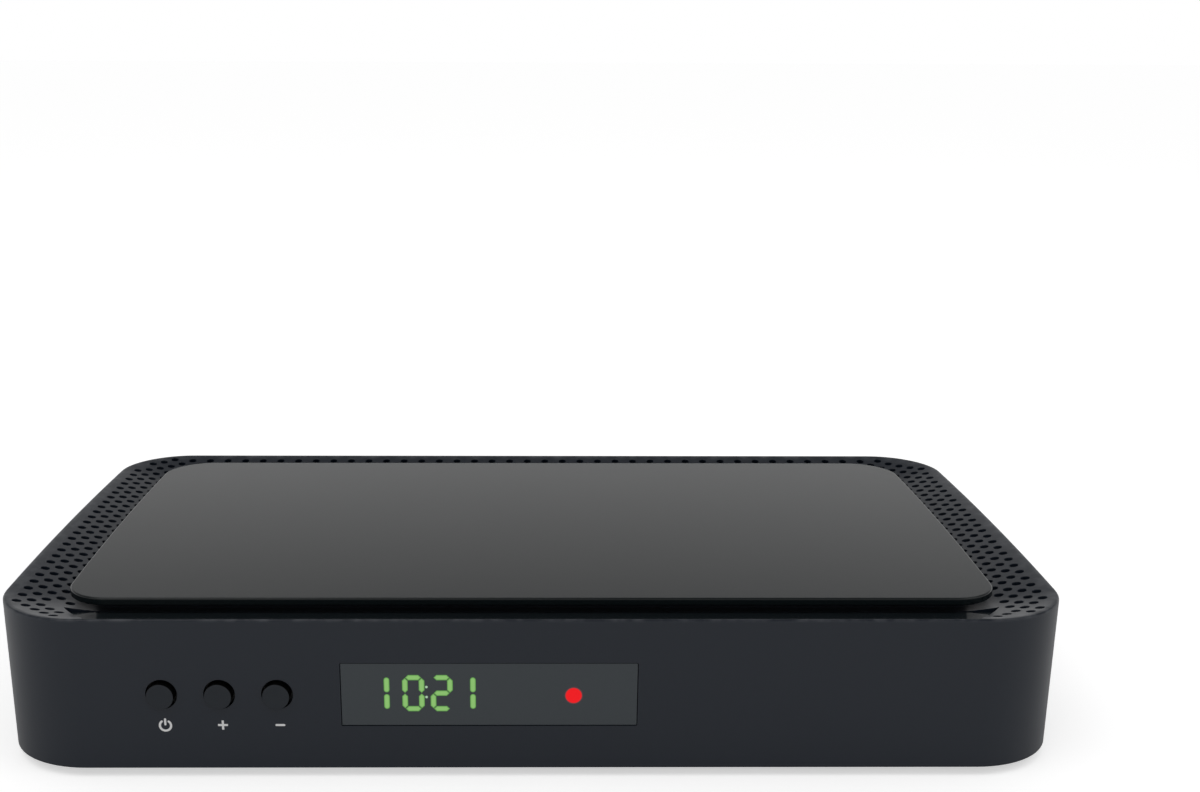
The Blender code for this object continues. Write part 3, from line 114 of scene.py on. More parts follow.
def ownPlace(tree):
    # A point's place in its own object, so a pattern rides with the piece
    return addNode(tree, "ShaderNodeTexCoord").outputs["Object"]


def split(tree, vector):
    return addNode(tree, "ShaderNodeSeparateXYZ", {0: vector}).outputs


def newTree(name, kind, inputs, outputs):
    # Sockets are (name, type) or (name, type, default)
    tree = bpy.data.node_groups.new(name, kind)
    for direction, sockets in (("INPUT", inputs), ("OUTPUT", outputs)):
        for socketName, socketType, *default in sockets:
            socket = tree.interface.new_socket(socketName, in_out=direction, socket_type=socketType)
            if default:
                socket.default_value = default[0]
    return tree, tree.nodes.new("NodeGroupInput").outputs, tree.nodes.new("NodeGroupOutput").inputs


# Shader groups that several finishes share

effects = {
    "glossPatches": 5.0,
    "dustPatchScale": 40.0,
    "dustSpecks": (0.45, 0.75),
    "dustPatches": (0.35, 0.7),
    "dustFacing": (0.3, 0.95),
    "dustColour": (0.55, 0.54, 0.52, 1),
    "wearAndHighlightScale": 350.0,
    "wearAndHighlightBreaks": (0.42, 0.68),
    "wearAndHighlightColour": (0.30, 0.31, 0.33, 1),
    "tarnishScale": 500.0,
    "tarnishSpots": (0.5, 0.75),
    "tarnishShade": 0.45,
    "tarnishRoughness": 0.4,
}
board = {
    "emptyCells": 0.3,
    "cellsWithoutPads": 0.6,
    "lineShare": 0.42,
    "padScale": 420.0,
    "padSize": 0.16,
    "lacquer": (0.010, 0.048, 0.024, 1),
    "lacquerOnLine": (0.020, 0.095, 0.042, 1),
    "tin": (0.55, 0.55, 0.52, 1),
    "lineHeight": 0.00002,
}
ribbon = {
    "halfPitch": 0.00040,
    "core": (0.36, 0.36, 0.35, 1),
    "valleyShade": (0.20, 0.20, 0.20, 1),
    "ridgeHeight": 0.0003,
}


def makeFineGrain():
    # Moulded or sprayed texture, as a height for Bump
    tree, given, result = newTree(
        "fineGrain", "ShaderNodeTree",
        [("Grain Size", "NodeSocketFloat", 0.0004), ("Roundness", "NodeSocketFloat", 0.5)],
        [("Height", "NodeSocketFloat")])
    place = ownPlace(tree)
    scale = calc(tree, "DIVIDE", 1.0, given["Grain Size"])
    cells = addNode(tree, "ShaderNodeTexVoronoi", {"Vector": place, "Scale": scale}, feature="SMOOTH_F1")
    height = calc(tree, "MULTIPLY_ADD", cells.outputs["Distance"], given["Roundness"],
                  noiseAt(tree, place, scale, 3.0))
    tree.links.new(height, result["Height"])
    return tree


def makeSurfaceDrift():
    # Slow change of tone over a hand's breadth, and of gloss over a finger's
    tree, given, result = newTree(
        "surfaceDrift", "ShaderNodeTree",
        [("Colour", "NodeSocketColor", (0.1, 0.1, 0.1, 1)), ("Tone Change", "NodeSocketFloat", 0.05),
         ("Roughness", "NodeSocketFloat", 0.5), ("Gloss Change", "NodeSocketFloat", 0.04),
         ("Patch Size", "NodeSocketFloat", 0.03)],
        [("Colour", "NodeSocketColor"), ("Roughness", "NodeSocketFloat")])
    place = ownPlace(tree)
    scale = calc(tree, "DIVIDE", 1.0, given["Patch Size"])
    broad = noiseAt(tree, place, scale, 2.0)
    fine = noiseAt(tree, place, calc(tree, "MULTIPLY", scale, effects["glossPatches"]), 4.0)
    tone = calc(tree, "MULTIPLY_ADD", calc(tree, "SUBTRACT", broad, 0.5), given["Tone Change"], 1.0)
    shade = addNode(tree, "ShaderNodeVectorMath", {0: given["Colour"], "Scale": tone}, operation="SCALE")
    gloss = calc(tree, "MULTIPLY_ADD", calc(tree, "SUBTRACT", fine, 0.5),
                 given["Gloss Change"], given["Roughness"])
    tree.links.new(shade.outputs[0], result["Colour"])
    tree.links.new(gloss, result["Roughness"])
    return tree


def makeDustFilm():
    # Pale dust that settles on upward faces, in soft patches
    tree, given, result = newTree(
        "dustFilm", "ShaderNodeTree",
        [("Colour", "NodeSocketColor", (0.1, 0.1, 0.1, 1)), ("Amount", "NodeSocketFloat", 0.03),
         ("Speck Size", "NodeSocketFloat", 0.0012)],
        [("Colour", "NodeSocketColor")])
    place = ownPlace(tree)
    facing = split(tree, addNode(tree, "ShaderNodeNewGeometry").outputs["Normal"])["Z"]
    scale = calc(tree, "DIVIDE", 1.0, given["Speck Size"])
    specks = noiseAt(tree, place, scale, 6.0)
    patch = noiseAt(tree, place, effects["dustPatchScale"], 2.0)
    mask = calc(tree, "MULTIPLY", spread(tree, specks, *effects["dustSpecks"]),
                spread(tree, patch, *effects["dustPatches"]))
    mask = calc(tree, "MULTIPLY", mask, spread(tree, facing, *effects["dustFacing"]))
    mask = calc(tree, "MULTIPLY", mask, given["Amount"])
    tree.links.new(mixColour(tree, mask, given["Colour"], effects["dustColour"]), result["Colour"])
    return tree


def makeRimWear():
    # Lighter near one height of the piece, such as a case's top rim: partly rubbing wear, partly a painted
    # highlight along the rim
    tree, given, result = newTree(
        "rimWear", "ShaderNodeTree",
        [("Colour", "NodeSocketColor", (0.1, 0.1, 0.1, 1)), ("Height", "NodeSocketFloat", 0.03),
         ("Reach", "NodeSocketFloat", 0.001), ("Amount", "NodeSocketFloat", 0.2)],
        [("Colour", "NodeSocketColor")])
    place = ownPlace(tree)
    away = calc(tree, "ABSOLUTE", calc(tree, "SUBTRACT", split(tree, place)["Z"], given["Height"]))
    share = calc(tree, "MINIMUM", calc(tree, "DIVIDE", away, given["Reach"]), 1.0)
    near = calc(tree, "SUBTRACT", 1.0, share)
    broken = noiseAt(tree, place, effects["wearAndHighlightScale"], 5.0)
    mask = calc(tree, "MULTIPLY", near, spread(tree, broken, *effects["wearAndHighlightBreaks"]))
    mask = calc(tree, "MULTIPLY", mask, given["Amount"])
    tree.links.new(mixColour(tree, mask, given["Colour"], effects["wearAndHighlightColour"]), result["Colour"])
    return tree


def makeTraceLines():
    # Copper runs under lacquer: stretches of even lines along X or Y, chosen cell by cell, and pads
    tree, given, result = newTree(
        "traceLines", "ShaderNodeTree",
        [("Line Pitch", "NodeSocketFloat", 0.0009), ("Cell Size", "NodeSocketFloat", 0.0070)],
        [("Lines", "NodeSocketFloat"), ("Pads", "NodeSocketFloat")])
    place = ownPlace(tree)
    parts = split(tree, place)
    scale = calc(tree, "DIVIDE", 1.0, given["Cell Size"])
    cells = addNode(tree, "ShaderNodeTexVoronoi", {"Vector": place, "Scale": scale}, distance="CHEBYCHEV")
    pick = addNode(tree, "ShaderNodeSeparateColor", {0: cells.outputs["Color"]}).outputs
    alongX = calc(tree, "GREATER_THAN", pick[0], 0.5)
    across = calc(tree, "MULTIPLY_ADD", alongX, calc(tree, "SUBTRACT", parts["Y"], parts["X"]), parts["X"])
    wave = calc(tree, "FRACT", calc(tree, "DIVIDE", across, given["Line Pitch"]))
    used = calc(tree, "GREATER_THAN", pick[1], board["emptyCells"])
    lines = calc(tree, "MULTIPLY", calc(tree, "LESS_THAN", wave, board["lineShare"]), used)
    dots = addNode(tree, "ShaderNodeTexVoronoi", {"Vector": place, "Scale": board["padScale"]})
    near = calc(tree, "LESS_THAN", dots.outputs["Distance"], board["padSize"])
    pads = calc(tree, "MULTIPLY", near, calc(tree, "GREATER_THAN", pick[2], board["cellsWithoutPads"]))
    tree.links.new(lines, result["Lines"])
    tree.links.new(pads, result["Pads"])
    return tree


fineGrain = makeFineGrain()
surfaceDrift = makeSurfaceDrift()
dustFilm = makeDustFilm()
rimWear = makeRimWear()
traceLines = makeTraceLines()


# Finishes

def useGroup(tree, group, **inputs):
    node = addNode(tree, "ShaderNodeGroup", node_tree=group)
    for name, value in inputs.items():
        socket = node.inputs["".join(" " + c if c.isupper() else c for c in name).strip().title()]
        if isinstance(value, bpy.types.NodeSocket):
            tree.links.new(value, socket)
        else:
            socket.default_value = value
    return node.outputs


def startFinish(name, metallic=0.0, specular=0.5, coat=0.0):
    material = bpy.data.materials.new(name)
    material.use_nodes = True
    tree = material.node_tree
    shader = tree.nodes["Principled BSDF"]
    shader.inputs["Metallic"].default_value = metallic
    shader.inputs["Specular IOR Level"].default_value = specular
    shader.inputs["Coat Weight"].default_value = coat
    shader.inputs["Coat Roughness"].default_value = 0.1
    return material, tree, shader


def feed(tree, shader, colour, roughness, height=None, depth=0.00002):
    tree.links.new(colour, shader.inputs["Base Color"])
    tree.links.new(roughness, shader.inputs["Roughness"])
    if height is not None:
        bump = addNode(tree, "ShaderNodeBump", {"Height": height, "Distance": depth, "Strength": 1.0})
        tree.links.new(bump.outputs["Normal"], shader.inputs["Normal"])


def plasticFinish(name, colour, roughness, grain=0.0004, depth=0.00002, specular=0.5, coat=0.0,
                  tone=0.06, gloss=0.05, dust=0.03, rim=None, side=None):
    # Moulded plastic: drift of tone and gloss, fine texture, a little dust, rubbing wear with a painted
    # highlight along a rim, and painted shade on a piece's sides where asked
    material, tree, shader = startFinish(name, 0.0, specular, coat)
    drift = useGroup(tree, surfaceDrift, colour=(*colour, 1), toneChange=tone, roughness=roughness,
                     glossChange=gloss)
    shade = useGroup(tree, dustFilm, colour=drift["Colour"], amount=dust)["Colour"]
    # Rim band lightened: rubbing wear together with a painted highlight along the rim
    if rim:
        shade = useGroup(tree, rimWear, colour=shade, height=rim[0], reach=rim[1], amount=rim[2])["Colour"]
    # Painted shade: where the attribute "face" is 0, such as a key's sides, a near-black colour stands in for
    # shade
    if side:  # darker where the piece's own attribute "face" is 0
        front = addNode(tree, "ShaderNodeAttribute", attribute_name="face").outputs["Fac"]
        shade = mixColour(tree, front, (*side, 1), shade)
    texture = useGroup(tree, fineGrain, grainSize=grain)
    feed(tree, shader, shade, drift["Roughness"], texture["Height"], depth)
    return material


def metalFinish(name, colour, roughness, grain=0.00025, depth=0.000004, tarnish=0.3):
    # Plated or bare metal: uneven gloss, with dull tarnish in patches
    material, tree, shader = startFinish(name, 1.0)
    drift = useGroup(tree, surfaceDrift, colour=(*colour, 1), toneChange=0.12, roughness=roughness,
                     glossChange=0.12, patchSize=0.006)
    spots = noiseAt(tree, ownPlace(tree), effects["tarnishScale"], 5.0)
    dull = calc(tree, "MULTIPLY", spread(tree, spots, *effects["tarnishSpots"]), tarnish)
    darker = tuple(effects["tarnishShade"] * c for c in colour) + (1,)
    shade = mixColour(tree, dull, drift["Colour"], darker)
    rough = calc(tree, "MULTIPLY_ADD", dull, effects["tarnishRoughness"], drift["Roughness"])
    texture = useGroup(tree, fineGrain, grainSize=grain)
    feed(tree, shader, shade, rough, texture["Height"], depth)
    return material


# The cover's top rim is lightened, as rubbing wear and as a painted highlight along the rim
coverFinish = plasticFinish("charcoal moulded plastic", (0.0077, 0.0121, 0.0208), 0.34, grain=0.00035,
                            depth=0.000006, specular=0.46, rim=(shellHigh.z, 0.0006, 0.16))
panelFinish = plasticFinish("satin panel plastic", (0.0045, 0.0075, 0.0085), 0.20, grain=0.00030,
                            depth=0.000003, specular=0.46, tone=0.08, gloss=0.04, dust=0.015)
stripFinish = plasticFinish("gloss black strip", (0.0085, 0.0130, 0.0155), 0.12, grain=0.0030,
                            depth=0.000001, specular=0.30, gloss=0.02, dust=0.01)
# A key's sides carry painted shade: their near-black colour stands in for their shadow
keyFinish = plasticFinish("charcoal key plastic", (0.0085, 0.0125, 0.0185), 0.38, grain=0.00030,
                          depth=0.000005, specular=0.40, dust=0.0, side=(0.0006, 0.0007, 0.0009))
windowFinish = plasticFinish("smoked window plastic", (0.055, 0.064, 0.071), 0.20, grain=0.0020,
                             depth=0.000001, specular=0.30, tone=0.03, gloss=0.02, dust=0.0)
footFinish = plasticFinish("black rubber", (0.012, 0.012, 0.012), 0.78, grain=0.0005, depth=0.00004,
                           specular=0.25, dust=0.06)
trayFinish = plasticFinish("charcoal tray plastic", (0.0150, 0.0172, 0.0212), 0.52, grain=0.00040,
                           depth=0.000014, specular=0.30)
steelFinish = plasticFinish("black powder coat", (0.0095, 0.0100, 0.0108), 0.46, grain=0.00050,
                            depth=0.000022, specular=0.42, dust=0.02)
socketFinish = plasticFinish("black socket plastic", (0.0080, 0.0082, 0.0085), 0.38, grain=0.00035,
                             depth=0.000006, specular=0.42, dust=0.0)
ivoryFinish = plasticFinish("ivory insulator plastic", (0.620, 0.590, 0.500), 0.42, grain=0.0004,
                            depth=0.000006, dust=0.0)
orangeFinish = plasticFinish("orange insulator plastic", (0.720, 0.180, 0.020), 0.38, grain=0.0004,
                             depth=0.000005, dust=0.0)
greenLensFinish = plasticFinish("green lens plastic", (0.060, 0.240, 0.070), 0.22, depth=0.000003,
                                coat=0.5, dust=0.0)
amberLensFinish = plasticFinish("amber lens plastic", (0.420, 0.200, 0.030), 0.22, depth=0.000003,
                                coat=0.5, dust=0.0)
redLensFinish = plasticFinish("red lamp plastic", (0.380, 0.012, 0.012), 0.15, depth=0.000003,
                              coat=0.6, dust=0.0)
foamFinish = plasticFinish("black foam", (0.0070, 0.0070, 0.0072), 0.90, grain=0.00070, depth=0.00018,
                           specular=0.15, dust=0.0)
chipFinish = plasticFinish("chip resin", (0.0140, 0.0140, 0.0145), 0.52, grain=0.00025, depth=0.000010,
                           specular=0.40, dust=0.02)
displayFinish = plasticFinish("grey display face", (0.0450, 0.0480, 0.0470), 0.30, depth=0.000003, dust=0.0)
sleeveFinish = plasticFinish("capacitor sleeve", (0.0080, 0.0100, 0.0260), 0.26, grain=0.0008,
                             depth=0.000012, coat=0.4, dust=0.02)
nickelFinish = metalFinish("nickel plate", (0.700, 0.680, 0.630), 0.20)
zincFinish = metalFinish("zinc plated steel", (0.620, 0.640, 0.660), 0.32, tarnish=0.4)
brassFinish = metalFinish("brass contact", (0.780, 0.560, 0.270), 0.26)
goldFinish = metalFinish("gold flash", (0.920, 0.660, 0.290), 0.20, tarnish=0.15)
tinFinish = metalFinish("tinplate", (0.640, 0.640, 0.620), 0.30, grain=0.0006, tarnish=0.35)
aluminiumFinish = metalFinish("extruded aluminium", (0.800, 0.805, 0.815), 0.36, grain=0.0005,
                              depth=0.000008, tarnish=0.2)


def makeBoardFinish():
    # Green lacquer over copper, with small tinned pads
    material, tree, shader = startFinish("green circuit board", specular=0.45)
    drift = useGroup(tree, surfaceDrift, colour=board["lacquer"], toneChange=0.1, roughness=0.32)
    runs = useGroup(tree, traceLines)
    shade = mixColour(tree, runs["Lines"], drift["Colour"], board["lacquerOnLine"])
    shade = mixColour(tree, runs["Pads"], shade, board["tin"])
    feed(tree, shader, shade, drift["Roughness"], runs["Lines"], board["lineHeight"])
    tree.links.new(runs["Pads"], shader.inputs["Metallic"])
    return material


def makeRibbonFinish():
    # Flat cable: round cores side by side under pale plastic, with painted shade in the grooves between them
    material, tree, shader = startFinish("grey ribbon cable", specular=0.4)
    half = ribbon["halfPitch"]
    ridge = spread(tree, calc(tree, "PINGPONG", split(tree, ownPlace(tree))["X"], half), 0.0, half)
    drift = useGroup(tree, surfaceDrift, colour=ribbon["core"], toneChange=0.1, roughness=0.4)
    shade = mixColour(tree, ridge, ribbon["valleyShade"], drift["Colour"])
    feed(tree, shader, shade, drift["Roughness"], ridge, ribbon["ridgeHeight"])
    return material


def makeInkFinish():
    # Printed ink with slightly uneven cover
    material, tree, shader = startFinish("white print", specular=0.3)
    drift = useGroup(tree, surfaceDrift, colour=(0.80, 0.80, 0.80, 1), toneChange=0.1, roughness=0.5,
                     patchSize=0.0006)
    feed(tree, shader, drift["Colour"], drift["Roughness"])
    return material


def lampFinish(name, core, edge, specular=0.2):
    # Lit segment behind smoked plastic: darker towards its edge, with a faint mottle
    material, tree, shader = startFinish(name, specular=specular)
    inner = addNode(tree, "ShaderNodeAttribute", attribute_name="core").outputs["Fac"]
    light = mixColour(tree, inner, (*edge, 1), (*core, 1))
    drift = useGroup(tree, surfaceDrift, colour=light, toneChange=0.10, roughness=0.25, patchSize=0.0008)
    tree.links.new(drift["Colour"], shader.inputs["Emission Color"])
    shader.inputs["Emission Strength"].default_value = 1.0
    shader.inputs["Base Color"].default_value = (0.01, 0.01, 0.01, 1)
    tree.links.new(drift["Roughness"], shader.inputs["Roughness"])
    return material


boardFinish = makeBoardFinish()
ribbonFinish = makeRibbonFinish()
inkFinish = makeInkFinish()
digitFinish = lampFinish("green clock segments", (0.24, 0.50, 0.145), (0.07, 0.23, 0.045))
lampGlow = lampFinish("red standby glow", (0.85, 0.008, 0.012), (0.60, 0.020, 0.025), specular=0.05)
# Painted glow: a ring round the standby lamp emits, standing in for the lamp's light spread in the window
lampHalo = lampFinish("faint red halo", (0.40, 0.050, 0.055), (0.10, 0.045, 0.050), specular=0.05)
dotGlow = lampFinish("pale clock dots", (0.42, 0.60, 0.42), (0.15, 0.25, 0.15))


# Mesh building blocks

def meshFrom(name, bm):
    mesh = bpy.data.meshes.new(name)
    bm.to_mesh(mesh)
    bm.free()
    return mesh


def newObject(name, data):
    obj = bpy.data.objects.new(name, data)
    bpy.context.scene.collection.objects.link(obj)
    return obj


def evaluatedMesh(obj):
    depsgraph = bpy.context.evaluated_depsgraph_get()
    depsgraph.update()
    return bpy.data.meshes.new_from_object(obj.evaluated_get(depsgraph))


def carved(mesh, cuts=(), unions=(), tree=None, values=None):
    # The mesh with shapes joined on and cut off, then run through a node tree
    obj = newObject(mesh.name, mesh)
    helpers = []
    for operation, tools in (("UNION", unions), ("DIFFERENCE", cuts)):
        for tool in tools:
            helpers.append(newObject("helper", tool))
            modifier = obj.modifiers.new("shape", "BOOLEAN")
            modifier.operation = operation
            modifier.object = helpers[-1]
            modifier.solver = "MANIFOLD"
    if tree:
        addTree(obj, tree, values)
    result = evaluatedMesh(obj)
    for used in helpers + [obj]:
        bpy.data.objects.remove(used, do_unlink=True)
    return result


def addTree(obj, tree, values):
    modifier = obj.modifiers.new("tree", "NODES")
    modifier.node_group = tree
    for item in tree.interface.items_tree:
        if item.item_type == "SOCKET" and item.in_out == "INPUT" and item.name in values:
            modifier[item.identifier] = values[item.name]


def cleaned(mesh, sharp=30):
    # Doubles merged, faces smoothed up to a crease angle in degrees
    bm = bmesh.new()
    bm.from_mesh(mesh)
    bmesh.ops.remove_doubles(bm, verts=bm.verts, dist=0.000002)
    bmesh.ops.dissolve_degenerate(bm, edges=bm.edges, dist=0.000001)
    bmesh.ops.recalc_face_normals(bm, faces=bm.faces)
    bm.to_mesh(mesh)
    bm.free()
    mesh.shade_smooth()
    mesh.set_sharp_from_angle(angle=math.radians(sharp))
    return mesh


def finishPiece(name, mesh, material, nodes=(), body="case", weighted=True):
    # Puts a mesh into the scene in the part's frame and ties it to its body
    mesh.transform(Matrix.Translation(caseShift))
    mesh.name = name
    mesh.materials.clear()
    mesh.materials.append(material)
    piece = newObject(name, mesh)
    if weighted:
        modifier = piece.modifiers.new("even shading", "WEIGHTED_NORMAL")
        modifier.keep_sharp = True
        modifier.weight = 80
        shaded = evaluatedMesh(piece)
        piece.modifiers.clear()
        piece.data = shaded
        shaded.name = name
    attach(piece, body)
    if nodes:
        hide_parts(*nodes)


def loft(name, rings):
    # Closed skin through rings of equal length, capped at both ends
    bm = bmesh.new()
    loops = [[bm.verts.new((x, y, z)) for x, y in outline] for outline, z in rings]
    for lower, upper in zip(loops, loops[1:]):
        for i in range(len(lower)):
            bm.faces.new((lower[i - 1], lower[i], upper[i], upper[i - 1]))
    bm.faces.new(loops[0])
    bm.faces.new(loops[-1])
    bmesh.ops.recalc_face_normals(bm, faces=bm.faces)
    return meshFrom(name, bm)


def block(low, high, rounding=0.0, segments=3):
    bm = bmesh.new()
    bmesh.ops.create_cube(bm, size=1)
    bmesh.ops.scale(bm, vec=[b - a for a, b in zip(low, high)], verts=bm.verts)
    bmesh.ops.translate(bm, vec=[(a + b) / 2 for a, b in zip(low, high)], verts=bm.verts)
    if rounding:
        bmesh.ops.bevel(bm, geom=bm.edges, offset=rounding, segments=segments, profile=0.5,
                        affect="EDGES", clamp_overlap=True)
    return meshFrom("block", bm)


turnAbout = {"Y": Matrix.Rotation(-quarterTurn, 4, "X"), "Z": Matrix.Identity(4)}


def revolved(profile, sides, where=(0, 0, 0), axis="Z", turn=0.0):
    # Profile of (radius, height) from the axis, round the outside, back to the axis
    bm = bmesh.new()
    rings = []
    for radius, height in profile:
        if radius < 0.0000001:
            rings.append([bm.verts.new((0, 0, height))])
        else:
            angles = [turn + 2 * math.pi * i / sides for i in range(sides)]
            rings.append([bm.verts.new((radius * math.cos(a), radius * math.sin(a), height)) for a in angles])
    for lower, upper in zip(rings, rings[1:]):
        for i in range(sides):
            corners = [lower[i % len(lower)], lower[(i + 1) % len(lower)],
                       upper[(i + 1) % len(upper)], upper[i % len(upper)]]
            corners = list(dict.fromkeys(corners))
            if len(corners) > 2:
                bm.faces.new(corners)
    if len(rings[0]) > 1 and len(rings[-1]) > 1:  # open in the middle: a ring-shaped body
        for i in range(sides):
            bm.faces.new((rings[-1][i], rings[-1][(i + 1) % sides], rings[0][(i + 1) % sides], rings[0][i]))
    bmesh.ops.recalc_face_normals(bm, faces=bm.faces)
    bm.transform(Matrix.Translation(where) @ turnAbout[axis])
    return meshFrom("revolved", bm)


def rod(radius, start, length, axis="Z", sides=32):
    return revolved([(0, 0), (radius, 0), (radius, length), (0, length)], sides, start, axis)


def prism(points, low, high, axis="Y"):
    # A flat closed outline drawn across an axis and thick along it
    bm = bmesh.new()
    along = "XYZ".index(axis)
    ends = [[bm.verts.new((*point[:along], level, *point[along:])) for point in points]
            for level in (low, high)]
    for i in range(len(points)):
        bm.faces.new((ends[0][i - 1], ends[0][i], ends[1][i], ends[1][i - 1]))
    bm.faces.new(ends[0])
    bm.faces.new(ends[1])
    bmesh.ops.recalc_face_normals(bm, faces=bm.faces)
    return meshFrom("prism", bm)


def roundedRectangle(left, low, right, high, radius, steps=6):
    points = []
    for x, y, quadrant in ((right - radius, high - radius, 0), (left + radius, high - radius, 1),
                           (left + radius, low + radius, 2), (right - radius, low + radius, 3)):
        for step in range(steps + 1):
            angle = quarterTurn * (quadrant + step / steps)
            points.append((x + radius * math.cos(angle), y + radius * math.sin(angle)))
    return points


def arc(radius, turns):
    # Points on a circle about zero at the given angles
    return [(radius * math.cos(a), radius * math.sin(a)) for a in turns]


def joined(name, meshes):
    bm = bmesh.new()
    for mesh in meshes:
        bm.from_mesh(mesh)
    return meshFrom(name, bm)


# Plan shared by the cover, the panel and the tray

plan = {
    "frontRadius": 0.0180,
    "rearRadius": 0.0158,
    "sideBow": 0.00135,
    "cornerSteps": 18,
    "sideSteps": 24,
}


def bulge(y):
    share = y / caseDepth
    return plan["sideBow"] * 4 * share * (1 - share)


def outline(sideInset, endInset, frontRadius, rearRadius):
    half = halfWidth - plan["sideBow"] - sideInset
    low = endInset
    high = caseDepth - endInset
    corners = ((-half + frontRadius, low + frontRadius, frontRadius, 2),
               (half - frontRadius, low + frontRadius, frontRadius, 3),
               (half - rearRadius, high - rearRadius, rearRadius, 0),
               (-half + rearRadius, high - rearRadius, rearRadius, 1))
    start = low + frontRadius
    run = high - rearRadius - start
    points = []
    for x, y, radius, quadrant in corners:
        for step in range(plan["cornerSteps"] + 1):
            angle = quarterTurn * (quadrant + step / plan["cornerSteps"])
            points.append((x + radius * math.cos(angle), y + radius * math.sin(angle)))
        if quadrant in (1, 3):
            for step in range(1, plan["sideSteps"]):
                share = step / plan["sideSteps"]
                share = share if quadrant == 3 else 1 - share
                points.append((half if quadrant == 3 else -half, start + run * share))
    return [(x + math.copysign(bulge(y), x), y) for x, y in points]


def caseOutline(inset):
    return outline(inset, inset, plan["frontRadius"] - inset, plan["rearRadius"] - inset)


def panelOutline(inset):
    return outline(panel["sideInset"] + inset, panel["endInset"] + inset,
                   panel["frontRadius"] - inset, panel["rearRadius"] - inset)


def roundedEdge(steps):
    # Inset and drop of each ring round a quarter-circle edge of radius one, from top to side
    angles = [quarterTurn * i / steps for i in range(steps + 1)]
    return [(1 - math.sin(a), 1 - math.cos(a)) for a in angles]


# Perforated cover

cover = {
    "wall": 0.0020,
    "roof": 0.0018,
    "rimRound": 0.0005,
    "lipWidth": 0.0012,
    "bottomRound": 0.00015,
    "bandDrop": 0.0032,
    "holeRadius": 0.00098,
    "holeFlare": 0.00008,
    "holeSides": 16,
    "columnStep": 0.00241,
    "rowStep": 0.002104,
    "rearInset": 0.00364,
    "holeLimits": (0.0029, 0.0022, 0.0145, 0.0130),
    "holeReach": 0.0045,
    "gridHeight": 0.05,
    "rayLength": 0.2,
    "rearOpeningInset": 0.0220,
    "rearOpeningTopInset": 0.0061,
    "bossRadius": 0.00325,
    "bossStart": 0.0053,
    "bossSunk": 0.0009,
    "bossHole": (0.0013, 0.0043, 0.0100),
    "frontBossRadius": 0.0024,
    "frontBossSunk": 0.0004,
    "frontBossHole": (0.0012, 0.0042, 0.0060),
    "creaseAngle": 24,
}
panel = {
    "sideInset": 0.0131,
    "endInset": 0.0105,
    "frontRadius": 0.0092,
    "rearRadius": 0.0113,
    "overhang": 0.0027,
    "shadowDepth": 0.0022,
    "proud": 0.0007,
    "thickness": 0.0016,
    "edgeRound": 0.0004,
    "pegRadius": 0.0013,
    "pegLength": 0.0022,
    "pegInset": 0.0400,
    "pegSides": 24,
}
strip = {
    "frontInset": 0.0005,
    "endInset": 0.0217,
    "splay": 0.0080,
    "holeMargin": 0.0008,
    "thickness": 0.0007,
    "edgeRound": 0.00008,
    "gap": 0.00006,
}
gap = 0.0003
past = 0.001  # how far a cutter reaches past the surface it opens
merge = 0.0004  # how far a joined shape reaches into the other
panelUnder = caseHeight + panel["proud"] - panel["thickness"]
platformTop = panelUnder - gap
platformInset = panel["endInset"] + panel["overhang"]
roofUnder = caseHeight - cover["bandDrop"] - cover["roof"]


def bandHeight(inset):
    return caseHeight - cover["bandDrop"] * (inset - cover["lipWidth"]) / (platformInset - cover["lipWidth"])


def stripHeight(y):
    return caseHeight - cover["bandDrop"] * (y - strip["frontInset"]) / (platformInset - strip["frontInset"])


def stripReach(y):
    return halfWidth - strip["endInset"] + strip["splay"] * y / platformInset


def stripSlab(front, rear, grown, above, below):
    # Slab along the strip's slope, its ends splayed as the strip's are
    bm = bmesh.new()
    ends = []
    for offset in (-below, above):
        corners = [(side * (stripReach(y) + grown), y)
                   for side, y in ((-1, front), (1, front), (1, rear), (-1, rear))]
        ends.append([bm.verts.new((x, y, stripHeight(y) + offset)) for x, y in corners])
    for i in range(4):
        bm.faces.new((ends[0][i - 1], ends[0][i], ends[1][i], ends[1][i - 1]))
    bm.faces.new(ends[0])
    topFace = bm.faces.new(ends[1])
    bmesh.ops.recalc_face_normals(bm, faces=bm.faces)
    return bm, topFace


def boxAt(node):
    # A CAD node's box in the case's frame
    low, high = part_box(node)
    return Vector(low) - caseShift, Vector(high) - caseShift


def numbered(stem):
    return [stem + str(i) for i in range(1, 5)]


def centreOf(node):
    low, high = boxAt(node)
    return (low + high) / 2


